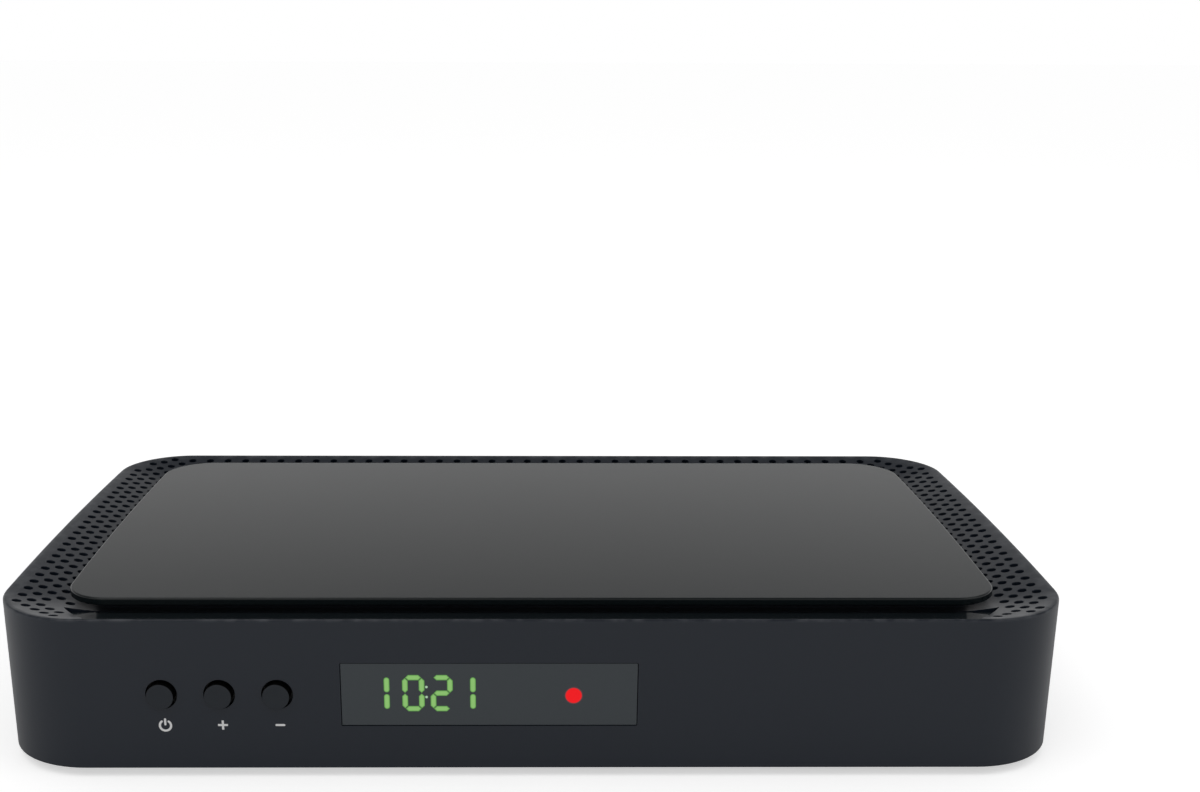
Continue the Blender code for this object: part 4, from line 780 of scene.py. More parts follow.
def makePerforation():
    # A staggered grid dropped onto the cover. A hole is cut where it lands between the outer limit
    # and the panel's outline, both given as loose edge loops in the same mesh.
    tree, given, result = newTree(
        "perforation", "GeometryNodeTree",
        [("Geometry", "NodeSocketGeometry"), ("Cutter", "NodeSocketObject"),
         ("Surface", "NodeSocketObject"), ("Column Step", "NodeSocketFloat", 0.0024),
         ("Row Step", "NodeSocketFloat", 0.0021),
         ("First Row", "NodeSocketFloat", 0.123), ("Strip Half Length", "NodeSocketFloat", 0.09),
         ("Strip Splay", "NodeSocketFloat", 0.3), ("Strip Rear", "NodeSocketFloat", 0.014),
         ("Side Bow", "NodeSocketFloat", 0.00135), ("Width", "NodeSocketFloat", 0.22),
         ("Depth", "NodeSocketFloat", 0.127)],
        [("Geometry", "NodeSocketGeometry")])
    kind = addNode(tree, "GeometryNodeInputNamedAttribute", {"Name": "limit"}, data_type="INT")
    kind = kind.outputs["Attribute"]
    loops = addNode(tree, "GeometryNodeMeshToCurve",
                    {"Mesh": given["Geometry"], "Selection": calc(tree, "GREATER_THAN", kind, 0.5)})
    zone = addNode(tree, "GeometryNodeFillCurve", {"Curve": loops.outputs["Curve"]}).outputs["Mesh"]
    body = addNode(tree, "GeometryNodeDeleteGeometry",
                   {"Geometry": given["Geometry"], "Selection": calc(tree, "GREATER_THAN", kind, 0.5)},
                   domain="EDGE", mode="ALL").outputs["Geometry"]
    body = addNode(tree, "GeometryNodeTriangulate", {"Mesh": body}).outputs["Mesh"]
    columns = calc(tree, "MULTIPLY", calc(tree, "FLOOR", calc(
        tree, "DIVIDE", given["Width"], calc(tree, "MULTIPLY", given["Column Step"], 2.0))), 2.0)
    rows = calc(tree, "FLOOR", calc(tree, "DIVIDE", given["Depth"], given["Row Step"]))
    grid = addNode(tree, "GeometryNodeMeshGrid", {
        "Size X": calc(tree, "MULTIPLY", given["Column Step"], calc(tree, "SUBTRACT", columns, 1.0)),
        "Size Y": calc(tree, "MULTIPLY", given["Row Step"], calc(tree, "SUBTRACT", rows, 1.0)),
        "Vertices X": columns, "Vertices Y": rows}).outputs["Mesh"]
    reach = calc(tree, "MULTIPLY", given["Row Step"], calc(tree, "SUBTRACT", rows, 1.0))
    middle = calc(tree, "SUBTRACT", given["First Row"], calc(tree, "DIVIDE", reach, 2.0))
    offset = addNode(tree, "ShaderNodeCombineXYZ", {"Y": middle, "Z": cover["gridHeight"]})
    placed = addNode(tree, "GeometryNodeSetPosition", {"Geometry": grid, "Offset": offset.outputs[0]})
    place = split(tree, addNode(tree, "GeometryNodeInputPosition").outputs[0])
    column = calc(tree, "FLOOR", calc(tree, "DIVIDE", place["X"], given["Column Step"]))
    row = calc(tree, "ROUND", calc(tree, "DIVIDE", calc(tree, "SUBTRACT", given["First Row"], place["Y"]),
                                   given["Row Step"]))
    even = calc(tree, "FLOORED_MODULO", calc(tree, "ADD", calc(tree, "ADD", column, row), 1.0), 2.0)
    staggered = addNode(tree, "GeometryNodeDeleteGeometry",
                        {"Geometry": placed.outputs[0], "Selection": calc(tree, "GREATER_THAN", even, 0.5)})
    share = calc(tree, "DIVIDE", place["Y"], given["Depth"])
    swell = calc(tree, "MULTIPLY", calc(tree, "MULTIPLY", share, calc(tree, "SUBTRACT", 1.0, share)), 4.0)
    aside = calc(tree, "MULTIPLY", calc(tree, "MULTIPLY", swell, given["Side Bow"]),
                 calc(tree, "DIVIDE", calc(tree, "MULTIPLY", place["X"], 2.0), given["Width"]))
    bowed = addNode(tree, "GeometryNodeSetPosition", {
        "Geometry": staggered.outputs[0],
        "Offset": addNode(tree, "ShaderNodeCombineXYZ", {"X": aside}).outputs[0]})
    down = {"Ray Direction": (0, 0, -1), "Ray Length": cover["rayLength"]}
    inZone = addNode(tree, "GeometryNodeRaycast", {"Target Geometry": zone, **down}).outputs["Is Hit"]
    stripEnd = calc(tree, "MULTIPLY_ADD", place["Y"], given["Strip Splay"], given["Strip Half Length"])
    nearStrip = calc(tree, "MULTIPLY", calc(tree, "LESS_THAN", calc(tree, "ABSOLUTE", place["X"]), stripEnd),
                     calc(tree, "LESS_THAN", place["Y"], given["Strip Rear"]))
    away = calc(tree, "SUBTRACT", 1.0, inZone)
    drop = calc(tree, "ADD", away, nearStrip)
    kept = addNode(tree, "GeometryNodeDeleteGeometry",
                   {"Geometry": bowed.outputs[0], "Selection": calc(tree, "GREATER_THAN", drop, 0.5)})
    guide = addNode(tree, "GeometryNodeObjectInfo", {"Object": given["Surface"]}).outputs["Geometry"]
    landing = addNode(tree, "GeometryNodeRaycast", {"Target Geometry": guide, **down})
    lean = addNode(tree, "FunctionNodeAlignRotationToVector", {"Vector": landing.outputs["Hit Normal"]},
                   axis="Z")
    captured = addNode(tree, "GeometryNodeCaptureAttribute", {"Geometry": kept.outputs[0]})
    captured.capture_items.new("ROTATION", "lean")
    tree.links.new(lean.outputs[0], captured.inputs["lean"])
    seated = addNode(tree, "GeometryNodeSetPosition", {
        "Geometry": captured.outputs["Geometry"], "Position": landing.outputs["Hit Position"]})
    tool = addNode(tree, "GeometryNodeObjectInfo", {"Object": given["Cutter"]}).outputs["Geometry"]
    cutters = addNode(tree, "GeometryNodeInstanceOnPoints",
                      {"Points": seated.outputs[0], "Instance": tool, "Rotation": captured.outputs["lean"]})
    solid = addNode(tree, "GeometryNodeRealizeInstances", {"Geometry": cutters.outputs[0]}).outputs[0]
    pierced = addNode(tree, "GeometryNodeMeshBoolean", {"Mesh 1": body, "Mesh 2": solid},
                      operation="DIFFERENCE", solver="MANIFOLD")
    faceted = addNode(tree, "GeometryNodeTriangulate", {"Mesh": pierced.outputs["Mesh"]})
    coated = addNode(tree, "GeometryNodeSetMaterial",
                     {"Geometry": faceted.outputs["Mesh"], "Material": coverFinish})
    tree.links.new(coated.outputs[0], result["Geometry"])
    return tree


def withLimits(mesh, loops):
    # Adds closed loops of loose edges to a mesh, marked by the edge attribute "limit"
    bm = bmesh.new()
    bm.from_mesh(mesh)
    layer = bm.edges.layers.int.new("limit")
    for points in loops:
        verts = [bm.verts.new((x, y, 0)) for x, y in points]
        for i, vert in enumerate(verts):
            bm.edges.new((verts[i - 1], vert))[layer] = 1
    bm.to_mesh(mesh)
    bm.free()
    return mesh


keyBoxes = [boxAt(name) for name in ("power_button", "channel_up_button", "channel_down_button")]
keyCentres = [(low + high) / 2 for low, high in keyBoxes]
windowLow, windowHigh = boxAt("display_window")


def makeCover():
    soft = roundedEdge(6)
    rim = cover["rimRound"]
    foot = cover["bottomRound"]
    platform = panelOutline(panel["overhang"])
    shadow = panelOutline(panel["overhang"] + panel["shadowDepth"])
    rings = [(shadow, platformTop), (shadow, caseHeight - cover["bandDrop"]),
             (platform, caseHeight - cover["bandDrop"]), (caseOutline(cover["lipWidth"]), caseHeight)]
    rings += [(caseOutline(rim * inset), caseHeight - rim * drop) for inset, drop in soft]
    rings += [(caseOutline(foot * inset), foot * drop) for inset, drop in reversed(soft)]
    rings += [(caseOutline(cover["wall"]), 0),
              (caseOutline(cover["wall"]), bandHeight(cover["wall"]) - cover["roof"]), (platform, roofUnder)]
    body = loft("perforatedCover", rings)
    surfaceMesh = body.copy()
    unions, cuts = [], []
    wall, start = cover["wall"], cover["bossStart"]
    radius, low, length = cover["bossHole"]
    for x, y, _ in map(centreOf, numbered("case_screw_")):
        unions.append(rod(cover["bossRadius"], (x, y, start), roofUnder + cover["bossSunk"] - start))
        cuts.append(rod(radius, (x, y, low), length, sides=24))
    boardFront = boxAt("front_board")[0].y - gap
    start = wall - cover["frontBossSunk"]
    radius, back, length = cover["frontBossHole"]
    for x, _, z in map(centreOf, ("front_board_screw_left", "front_board_screw_right")):
        unions.append(rod(cover["frontBossRadius"], (x, start, z), boardFront - start, "Y", 24))
        cuts.append(rod(radius, (x, boardFront - back, z), length, "Y", 16))
    radius, flare = keys["radius"] + keys["holeClearance"], keys["holeFlare"]
    profile = [(0, -past), (radius + flare, -past), (radius + flare, 0), (radius, flare),
               (radius, wall + past), (0, wall + past)]
    for centre in keyCentres:
        cuts.append(revolved(profile, keys["sides"], (centre.x, 0, centre.z), "Y"))
    edge = window["gap"]
    cuts.append(prism(roundedRectangle(window["left"] - edge, window["low"] - edge, window["right"] + edge,
                                       window["high"] + edge, window["cornerRound"] + edge),
                      -past, wall + past))
    opening = halfWidth - cover["rearOpeningInset"]
    cuts.append(block((-opening, caseDepth - wall - past, -past),
                      (opening, caseDepth + past, caseHeight - cover["rearOpeningTopInset"])))
    pocket, _ = stripSlab(strip["frontInset"], platformInset - gap, strip["gap"], past,
                          strip["thickness"] + gap)
    cuts.append(meshFrom("pocket", pocket))
    for x, y in pegPlaces():
        cuts.append(rod(panel["pegRadius"] + gap, (x, y, roofUnder - past),
                        platformTop - roofUnder + 2 * past, sides=panel["pegSides"]))
    body = carved(body, cuts, unions)
    withLimits(body, [outline(*cover["holeLimits"]), panelOutline(0)])
    radius, flare, reach = cover["holeRadius"], cover["holeFlare"], cover["holeReach"]
    cutterMesh = revolved([(0, -reach), (radius, -reach), (radius, -flare), (radius + flare, 0),
                           (radius + 2 * flare, flare), (0, flare)], cover["holeSides"])
    surface, cutter = newObject("holeSurface", surfaceMesh), newObject("holeCutter", cutterMesh)
    pierced = carved(body, tree=makePerforation(), values={
        "Cutter": cutter, "Surface": surface,
        "Column Step": cover["columnStep"], "Row Step": cover["rowStep"],
        "First Row": caseDepth - cover["rearInset"], "Strip Rear": platformInset + radius,
        "Strip Half Length": stripReach(0) + radius + strip["holeMargin"],
        "Strip Splay": strip["splay"] / platformInset, "Side Bow": plan["sideBow"],
        "Width": caseWidth, "Depth": caseDepth})
    for helper in (cutter, surface):
        bpy.data.objects.remove(helper, do_unlink=True)
    finishPiece("perforatedCover", cleaned(pierced, cover["creaseAngle"]), coverFinish, ["upper_shell"])


def pegPlaces():
    x = halfWidth - panel["pegInset"]
    return [(side * x, y) for y in (panel["pegInset"], caseDepth - panel["pegInset"]) for side in (-1, 1)]


def makePanel():
    top = panelUnder + panel["thickness"]
    soft = panel["edgeRound"]
    rings = [(panelOutline(soft * 0.5), panelUnder), (panelOutline(0), panelUnder + soft * 0.5)]
    rings += [(panelOutline(soft * inset), top - soft * drop) for inset, drop in reversed(roundedEdge(6))]
    pegs = [rod(panel["pegRadius"], (x, y, panelUnder - panel["pegLength"]), panel["pegLength"] + merge,
                sides=panel["pegSides"]) for x, y in pegPlaces()]
    mesh = carved(loft("topPlate", rings), unions=pegs)
    finishPiece("topPlate", cleaned(mesh, 40), panelFinish, ["top_panel"])


def makeStrip():
    bm, topFace = stripSlab(strip["frontInset"] + strip["gap"], platformInset - 2 * gap, 0, 0,
                            strip["thickness"])
    bmesh.ops.bevel(bm, geom=list(topFace.edges), offset=strip["edgeRound"], segments=3, profile=0.5,
                    affect="EDGES")
    finishPiece("glossStrip", cleaned(meshFrom("glossStrip", bm), 60), stripFinish, ["front_trim_strip"])


# Window, clock and lamp in the front

window = {
    "recess": 0.0001,
    "flange": 0.0018,
    "flangeThickness": 0.0008,
    "cornerRound": 0.0002,
    "edgeRound": 0.00010,
    "gap": 0.00012,
}
window["left"] = windowLow.x + window["flange"]
window["right"] = windowHigh.x - window["flange"]
window["low"] = windowLow.z + window["flange"]
window["high"] = windowHigh.z - window["flange"]
clock = {
    "digitCentres": (-0.02926, -0.02394, -0.01828, -0.01203),
    "shown": ("bc", "abcdef", "abged", "bc"),
    "height": 0.0079,
    "width": 0.0045,
    "stroke": 0.00117,
    "break": 0.00006,
    "middle": 0.01642,
    "colonAt": -0.02132,
    "colonHeights": (0.01775, 0.01558),
    "colonRadius": 0.00030,
    "coreInset": 0.00028,
    "oneStretch": 0.00012,
    "lampAt": (0.00813, 0.01589),
    "lampRadius": 0.00165,
    "haloRadius": 0.00185,
    "haloRise": (0.000005, 0.000008),
    "lampSides": 48,
    "proud": 0.00002,
    "sunk": 0.00005,
}


def makeWindow():
    front = window["recess"]
    flangeFront = cover["wall"] + gap
    points = roundedRectangle(window["left"], window["low"], window["right"], window["high"],
                              window["cornerRound"])
    bm = bmesh.new()
    bm.from_mesh(prism(points, front, flangeFront + merge))
    faceEdges = [edge for edge in bm.edges if all(vert.co.y < front + 0.00001 for vert in edge.verts)]
    bmesh.ops.bevel(bm, geom=faceEdges, offset=window["edgeRound"], segments=3, profile=0.5, affect="EDGES")
    edge = window["flange"]
    flange = block((window["left"] - edge, flangeFront, window["low"] - edge),
                   (window["right"] + edge, flangeFront + window["flangeThickness"], window["high"] + edge))
    mesh = carved(meshFrom("clockWindow", bm), unions=[flange])
    finishPiece("clockWindow", cleaned(mesh, 50), windowFinish, ["display_window"])


def segmentShapes():
    # The seven segments of one digit as closed outlines about its middle, by their usual letters
    w, h, s, cut = clock["width"] / 2, clock["height"] / 2, clock["stroke"], clock["break"]
    half = s / 2

    def across(level):
        return [(-w + half + cut, level), (-w + s + cut, level + half), (w - s - cut, level + half),
                (w - half - cut, level), (w - s - cut, level - half), (-w + s + cut, level - half)]

    def upright(side, low, high):
        return [(side, low + cut), (side + half, low + half + cut), (side + half, high - half - cut),
                (side, high - cut), (side - half, high - half - cut), (side - half, low + half + cut)]

    left, right = -w + half, w - half
    bottom, top = -h + half, h - half
    return {"a": across(top), "g": across(0), "d": across(bottom), "f": upright(left, 0, top),
            "b": upright(right, 0, top), "e": upright(left, bottom, 0), "c": upright(right, bottom, 0)}


def litShape(points, front, back, inset):
    # Flat lit shape along Y; its front face has an inner field where the attribute "core" is 1
    bm = bmesh.new()
    bm.from_mesh(prism(points, front, back))
    core = bm.verts.layers.float.new("core")
    face = min(bm.faces, key=lambda each: each.calc_center_median().y)
    bmesh.ops.inset_individual(bm, faces=[face], thickness=inset, use_even_offset=True)
    for vert in face.verts:
        vert[core] = 1.0
    return meshFrom("lit", bm)


def disc(x, z, radius, sides):
    return [(x + u, z + v) for u, v in arc(radius, [2 * math.pi * i / sides for i in range(sides)])]


def strokeShape(points, width):
    # A round-ended line of even width along the points, as a closed outline
    half, steps = width / 2, 8
    left, right = [], []
    for i, point in enumerate(points):
        ahead = Vector(points[min(i + 1, len(points) - 1)]) - Vector(points[max(i - 1, 0)])
        side = Vector((-ahead.y, ahead.x)).normalized() * half
        left.append(Vector(point) + side)
        right.append(Vector(point) - side)

    def cap(centre, start):
        arm = start - centre
        return [centre + Matrix.Rotation(-math.pi * i / steps, 2) @ arm for i in range(1, steps)]

    return left + cap(Vector(points[-1]), left[-1]) + right[::-1] + cap(Vector(points[0]), right[0])


def makeClock():
    shapes = segmentShapes()
    front = window["recess"] - clock["proud"]
    back = window["recess"] + clock["sunk"]
    segments = []
    for centre, letters in zip(clock["digitCentres"], clock["shown"]):
        alone = letters == "bc"
        side = -(clock["width"] - clock["stroke"]) / 2 if alone else 0  # a lone one is centred
        for letter in letters:
            shape = shapes[letter]
            if alone:  # round ends, a little farther apart
                half = clock["stroke"] / 2
                low, high = min(z for _, z in shape) + half, max(z for _, z in shape) - half
                stretch = math.copysign(clock["oneStretch"], low + high)
                shape = strokeShape([(shape[0][0], low + stretch), (shape[0][0], high + stretch)], 2 * half)
            points = [(x + centre + side, z + clock["middle"]) for x, z in shape]
            segments.append(litShape(points, front, back, clock["coreInset"]))
    digits = cleaned(joined("clockDigits", segments))
    finishPiece("clockDigits", digits, digitFinish, weighted=False)
    r = clock["colonRadius"]
    dots = [litShape(disc(clock["colonAt"], z, r, 16), front, back, r / 2) for z in clock["colonHeights"]]
    finishPiece("clockDots", cleaned(joined("clockDots", dots)), dotGlow,
                weighted=False)
    x, z = clock["lampAt"]
    r, halo = clock["lampRadius"], clock["haloRadius"]
    sides = clock["lampSides"]
    innerRise, outerRise = clock["haloRise"]
    lens = litShape(disc(x, z, r, sides), front, back, r / 8)
    finishPiece("lampSpot", cleaned(lens), lampGlow, weighted=False)
    # The halo ring is painted light: it glows for the lamp's light spreading round the lamp
    thick = clock["proud"] + clock["sunk"]
    ring = revolved([(r, innerRise), (halo, outerRise), (halo, thick), (r, thick)], sides, (x, front, z), "Y")
    finishPiece("lampRing", cleaned(ring), lampHalo, weighted=False)


# Keys and the marks under them

keys = {
    "radius": (keyBoxes[0][1].x - keyBoxes[0][0].x) / 2 - 0.0013,
    "holeClearance": 0.00045,
    "holeFlare": 0.00003,
    "edgeRound": 0.00010,
    "dish": 0.00008,
    "dishShape": ((0, 1), (0.35, 0.8), (0.7, 0.25)),
    "flange": 0.0013,
    "flangeThickness": 0.0010,
    "stemRadius": 0.0015,
    "sides": 64,
    "sag": (-0.00018, -0.00022),
}
marks = {
    "stroke": 0.00045,
    "powerAt": (-0.07386, 0.00954),
    "powerRadius": 0.00112,
    "powerGap": 38,
    "plusAt": (-0.06233, 0.00953),
    "minusAt": (-0.05080, 0.00952),
    "arcDrop": 0.0001,
    "bar": (0.00015, 0.00125),
    "arm": 0.00100,
    "proud": 0.00002,
    "sunk": 0.00004,
}


def makeKeys():
    names = ("power", "channelUp", "channelDown")
    nodes = ("power_button", "channel_up_button", "channel_down_button")
    bodies = ("power_key", "channel_up_key", "channel_down_key")
    r, soft, dish = keys["radius"], keys["edgeRound"], keys["dish"]
    flangeFront = cover["wall"] + gap
    flangeBack = flangeFront + keys["flangeThickness"]
    for name, node, body, centre, (low, high) in zip(names, nodes, bodies, keyCentres, keyBoxes):
        proud, stemEnd = -low.y, high.y
        face = [(r * share, -proud + dish * depth) for share, depth in keys["dishShape"]]
        edge = [(r - soft * inset, -proud + soft * drop) for inset, drop in roundedEdge(6)]
        rest = [(r, flangeFront), (r + keys["flange"], flangeFront), (r + keys["flange"], flangeBack),
                (keys["stemRadius"], flangeBack), (keys["stemRadius"], stemEnd), (0, stemEnd)]
        # A key hangs a little low and to one side in its hole
        x, z = centre.x + keys["sag"][0], centre.z + keys["sag"][1]
        mesh = revolved(face + edge + rest, keys["sides"], (x, 0, z), "Y")
        # Only the front face is marked 1; the rest of the key takes the painted shade colour of its sides
        mark = mesh.attributes.new("face", "FLOAT", "POINT")
        for i, vert in enumerate(mesh.vertices):
            away = math.hypot(vert.co.x - x, vert.co.z - z)
            mark.data[i].value = 1.0 if vert.co.y < 0 and away < r - soft * 0.3 else 0.0
        finishPiece(name + "Key", cleaned(mesh, 40), keyFinish, [node], body)


def makeMarks():
    stroke, arm = marks["stroke"], marks["arm"]

    def addMark(name, *outlines):
        raised = [prism(points, -marks["proud"], marks["sunk"]) for points in outlines]
        finishPiece(name, cleaned(joined(name, raised)), inkFinish, weighted=False)

    x, z = marks["powerAt"]
    half = math.radians(marks["powerGap"])
    turns = [quarterTurn + half + 2 * (math.pi - half) * i / 32 for i in range(33)]
    circle = [(x + u, z - marks["arcDrop"] + v) for u, v in arc(marks["powerRadius"], turns)]
    bar = [(x, z + rise) for rise in marks["bar"]]
    addMark("powerMark", strokeShape(circle, stroke), strokeShape(bar, stroke))
    half = stroke / 2
    x, z = marks["plusAt"]
    corner = [(arm, half), (half, half), (half, arm)]
    cross = []
    for quarter in range(4):
        cross += [(x + u, z + v) for u, v in corner]
        corner = [(-v, u) for u, v in corner]
    addMark("plusMark", cross)
    x, z = marks["minusAt"]
    addMark("minusMark", strokeShape([(x - arm + half, z), (x + arm - half, z)], stroke))


makeCover()
print("cover made")
makePanel()
makeStrip()
print("panel and strip made")
makeWindow()
makeClock()
makeKeys()
makeMarks()
print("front made")


# Tray, feet and screws

def makeRepeat():
    # Copies of a shape on the points of a mesh, each turned about an axis by an angle of its own
    tree, given, result = newTree(
        "repeat", "GeometryNodeTree",
        [("Geometry", "NodeSocketGeometry"), ("Shape", "NodeSocketObject"), ("Axis", "NodeSocketVector"),
         ("Turn Range", "NodeSocketFloat", 0.0), ("Seed", "NodeSocketInt", 1),
         ("Finish", "NodeSocketMaterial")],
        [("Geometry", "NodeSocketGeometry")])
    angle = addNode(tree, "FunctionNodeRandomValue", {3: given["Turn Range"], "Seed": given["Seed"]},
                    data_type="FLOAT").outputs[1]
    turn = addNode(tree, "FunctionNodeAxisAngleToRotation", {"Axis": given["Axis"], "Angle": angle})
    shape = addNode(tree, "GeometryNodeObjectInfo", {"Object": given["Shape"]}).outputs["Geometry"]
    copies = addNode(tree, "GeometryNodeInstanceOnPoints",
                     {"Points": given["Geometry"], "Instance": shape, "Rotation": turn.outputs[0]})
    solid = addNode(tree, "GeometryNodeRealizeInstances", {"Geometry": copies.outputs[0]}).outputs[0]
    coated = addNode(tree, "GeometryNodeSetMaterial", {"Geometry": solid, "Material": given["Finish"]})
    tree.links.new(coated.outputs[0], result["Geometry"])
    return tree


repeatTree = makeRepeat()


def repeated(name, shape, places, material, axis=(0, 0, 1), turnRange=0.0, seed=1):
    bm = bmesh.new()
    for where in places:
        bm.verts.new(where)
    sample = newObject(name + "Shape", shape)
    mesh = carved(meshFrom(name, bm), tree=repeatTree, values={
        "Shape": sample, "Axis": axis, "Turn Range": turnRange, "Seed": seed, "Finish": material})
    bpy.data.objects.remove(sample, do_unlink=True)
    return mesh


screw = {
    "sides": 32,
    "headShape": ((0, 1), (0.45, 0.97), (0.78, 0.80), (0.95, 0.48), (1, 0.16), (0.98, 0)),
    "recessWidth": 0.00045,
    "recessShare": 0.56,
    "recessDepth": 0.00075,
    "recessOver": 0.0005,
    "threadPitch": 0.00070,
    "threadRoot": 0.74,
    "case": (0.0016, 0.0011),
    "board": (0.0014, 0.0010),
    "firstSeed": 3,
}
foot = {
    "round": 0.0006,
    "ringRadius": 0.0040,
    "ringWidth": 0.0006,
    "ringDepth": 0.0003,
    "ringDraft": 0.0001,
    "shoulder": 0.0009,
    "taper": 0.0002,
    "dish": 0.00015,
}
tray = {
    "edge": cover["wall"] + gap,
    "lipHeight": 0.0050,
    "lipWidth": 0.0015,
    "floor": 0.0020,
    "edgeRound": 0.0004,
    "pillarRadius": 0.0048,
    "standoffRadius": 0.0030,
    "standoffHeight": 0.0040,
    "slotWidth": 0.0024,
    "slotLength": 0.0320,
    "slotPitch": 0.0075,
    "plateWidth": 0.0620,
    "plateDepth": 0.0240,
    "plateSunk": 0.0003,
    "plateMiddle": 0.0340,
    "plateRound": 0.0015,
    "pillarFoot": 0.0016,
    "screwSeat": 0.0024,
    "screwLead": 0.0004,
    "screwHole": 0.0014,
    "screwHoleTop": 0.006,
    "boardHole": (0.0012, 0.0035, 0.0045),
}


def crossSlotted(mesh, reach, half, low, high):
    # Two slots across each other along Z, cut one after the other
    for x, y in ((reach, half), (half, reach)):
        mesh = carved(mesh, [block((-x, -y, low), (x, y, high))])
    return mesh


def screwShape(head, headHeight, shank, length, turn):
    # Pan head with a cross recess towards +Z, underside at zero, ringed shank below
    profile = [(head * out, headHeight * up) for out, up in screw["headShape"]] + [(shank, 0)]
    pitch, root = screw["threadPitch"], shank * screw["threadRoot"]
    for i in range(int(length / pitch) - 1):
        start = -(i + 0.4) * pitch
        profile += [(root, start), (shank, start - 0.35 * pitch), (shank, start - 0.5 * pitch),
                    (root, start - 0.85 * pitch)]
    profile += [(root * 0.5, -length), (0, -length)]
    shape = crossSlotted(revolved(profile, screw["sides"]), head * screw["recessShare"],
                         screw["recessWidth"] / 2, headHeight - screw["recessDepth"],
                         headHeight + screw["recessOver"])
    shape.transform(Euler(turn).to_matrix().to_4x4())
    return cleaned(shape, 35)


def makeScrews():
    groups = (
        ("caseScrews", numbered("case_screw_"), "down", "case", (math.pi, 0, 0)),
        ("boardScrews", numbered("board_screw_"), "up", "board", (0, 0, 0)),
        ("frontBoardScrews", ["front_board_screw_left", "front_board_screw_right"], "back", "board",
         (-quarterTurn, 0, 0)))
    for number, (name, nodes, facing, kind, turn) in enumerate(groups):
        headHeight, shank = screw[kind]
        places = []
        for node in nodes:
            low, high = boxAt(node)
            middle = (low + high) / 2
            places.append({"down": (middle.x, middle.y, low.z + headHeight),
                           "up": (middle.x, middle.y, high.z - headHeight),
                           "back": (middle.x, high.y - headHeight, middle.z)}[facing])
        length = (high.y - low.y if facing == "back" else high.z - low.z) - headHeight
        shape = screwShape((high.x - low.x) / 2, headHeight, shank, length, turn)
        axis = (0, 1, 0) if facing == "back" else (0, 0, 1)
        mesh = repeated(name, shape, places, zincFinish, axis, quarterTurn, screw["firstSeed"] + number)
        finishPiece(name, cleaned(mesh, 35), zincFinish, nodes)


def makeFeet():
    nodes = ["foot_" + corner for corner in ("front_left", "front_right", "rear_left", "rear_right")]
    low, high = boxAt(nodes[0])
    r, soft = (high.x - low.x) / 2, foot["round"]
    inner, outer = foot["ringRadius"] - foot["ringWidth"] / 2, foot["ringRadius"] + foot["ringWidth"] / 2
    deep, draft, narrow = low.z + foot["ringDepth"], foot["ringDraft"], r - foot["taper"]
    profile = [(0, high.z), (r, high.z), (r, high.z - foot["shoulder"]), (narrow, low.z + soft)]
    profile += [(narrow - soft + u, low.z + soft - v)
                for u, v in arc(soft, [quarterTurn * i / 5 for i in range(1, 6)])]
    profile += [(outer, low.z), (outer - draft, deep), (inner + draft, deep), (inner, low.z),
                (inner * 0.5, low.z + foot["dish"] * 0.7), (0, low.z + foot["dish"])]
    places = [(centreOf(node).x, centreOf(node).y, 0) for node in nodes]
    mesh = repeated("rubberFeet", cleaned(revolved(profile, 48), 35), places, footFinish, seed=8)
    finishPiece("rubberFeet", cleaned(mesh, 35), footFinish, nodes)


def makeTray():
    edge, inner = tray["edge"], tray["edge"] + tray["lipWidth"]
    soft, lip, floor = tray["edgeRound"], tray["lipHeight"], tray["floor"]
    rings = [(caseOutline(edge + soft * inset), soft * drop) for inset, drop in roundedEdge(4)]
    rings += [(caseOutline(edge), lip), (caseOutline(inner), lip), (caseOutline(inner), floor)]
    start, top = tray["pillarFoot"], floor + tray["standoffHeight"]
    lead, seatTop, hole = tray["screwLead"], tray["screwSeat"], tray["screwHole"]
    holeTop = tray["screwHoleTop"]
    boardHole, deep, length = tray["boardHole"]
    unions, cuts = [], []
    for caseScrew, boardScrew in zip(numbered("case_screw_"), numbered("board_screw_")):
        low, high = boxAt(caseScrew)
        x, y = (low.x + high.x) / 2, (low.y + high.y) / 2
        seat = (high.x - low.x) / 2 + gap
        profile = [(0, -past), (seat + lead, -past), (seat + lead, 0), (seat, lead), (seat, seatTop),
                   (hole, seatTop), (hole, holeTop), (0, holeTop)]
        unions.append(rod(tray["pillarRadius"], (x, y, start), lip - start, sides=40))
        cuts.append(revolved(profile, 40, (x, y, 0)))
        x, y, _ = centreOf(boardScrew)
        unions.append(rod(tray["standoffRadius"], (x, y, start), top - start))
        cuts.append(rod(boardHole, (x, y, top - deep), length, sides=20))
    for corner in ("front_left", "front_right", "rear_left", "rear_right"):
        low, high = boxAt("foot_" + corner)
        x, y = (low.x + high.x) / 2, (low.y + high.y) / 2
        cuts.append(rod((high.x - low.x) / 2 + gap, (x, y, -past), past + high.z + gap, sides=48))
    panelLow, panelHigh = boxAt("rear_panel")
    cuts.append(block((panelLow.x - gap, caseDepth - inner - past, floor),
                      (panelHigh.x + gap, caseDepth, lip + past)))
    half, depth, middle = tray["plateWidth"] / 2, tray["plateDepth"] / 2, tray["plateMiddle"]
    plate = roundedRectangle(-half, middle - depth, half, middle + depth, tray["plateRound"])
    cuts.append(prism(plate, -past, tray["plateSunk"], "Z"))
    width, length, pitch = tray["slotWidth"] / 2, tray["slotLength"] / 2, tray["slotPitch"]
    low, high = boxAt("main_board")
    count = int((high.x - low.x) / 2 / pitch)
    places = [((i - (count - 1) / 2) * pitch, (low.y + high.y) / 2, 0) for i in range(count)]
    slot = prism(roundedRectangle(-width, -length, width, length, width * 0.999, 8), -past, floor + past, "Z")
    cuts.append(repeated("slotCutters", slot, places, trayFinish))
    mesh = carved(loft("floorTray", rings), cuts, unions)
    finishPiece("floorTray", cleaned(mesh, 30), trayFinish, ["base_tray"])


# Rear panel and its sockets

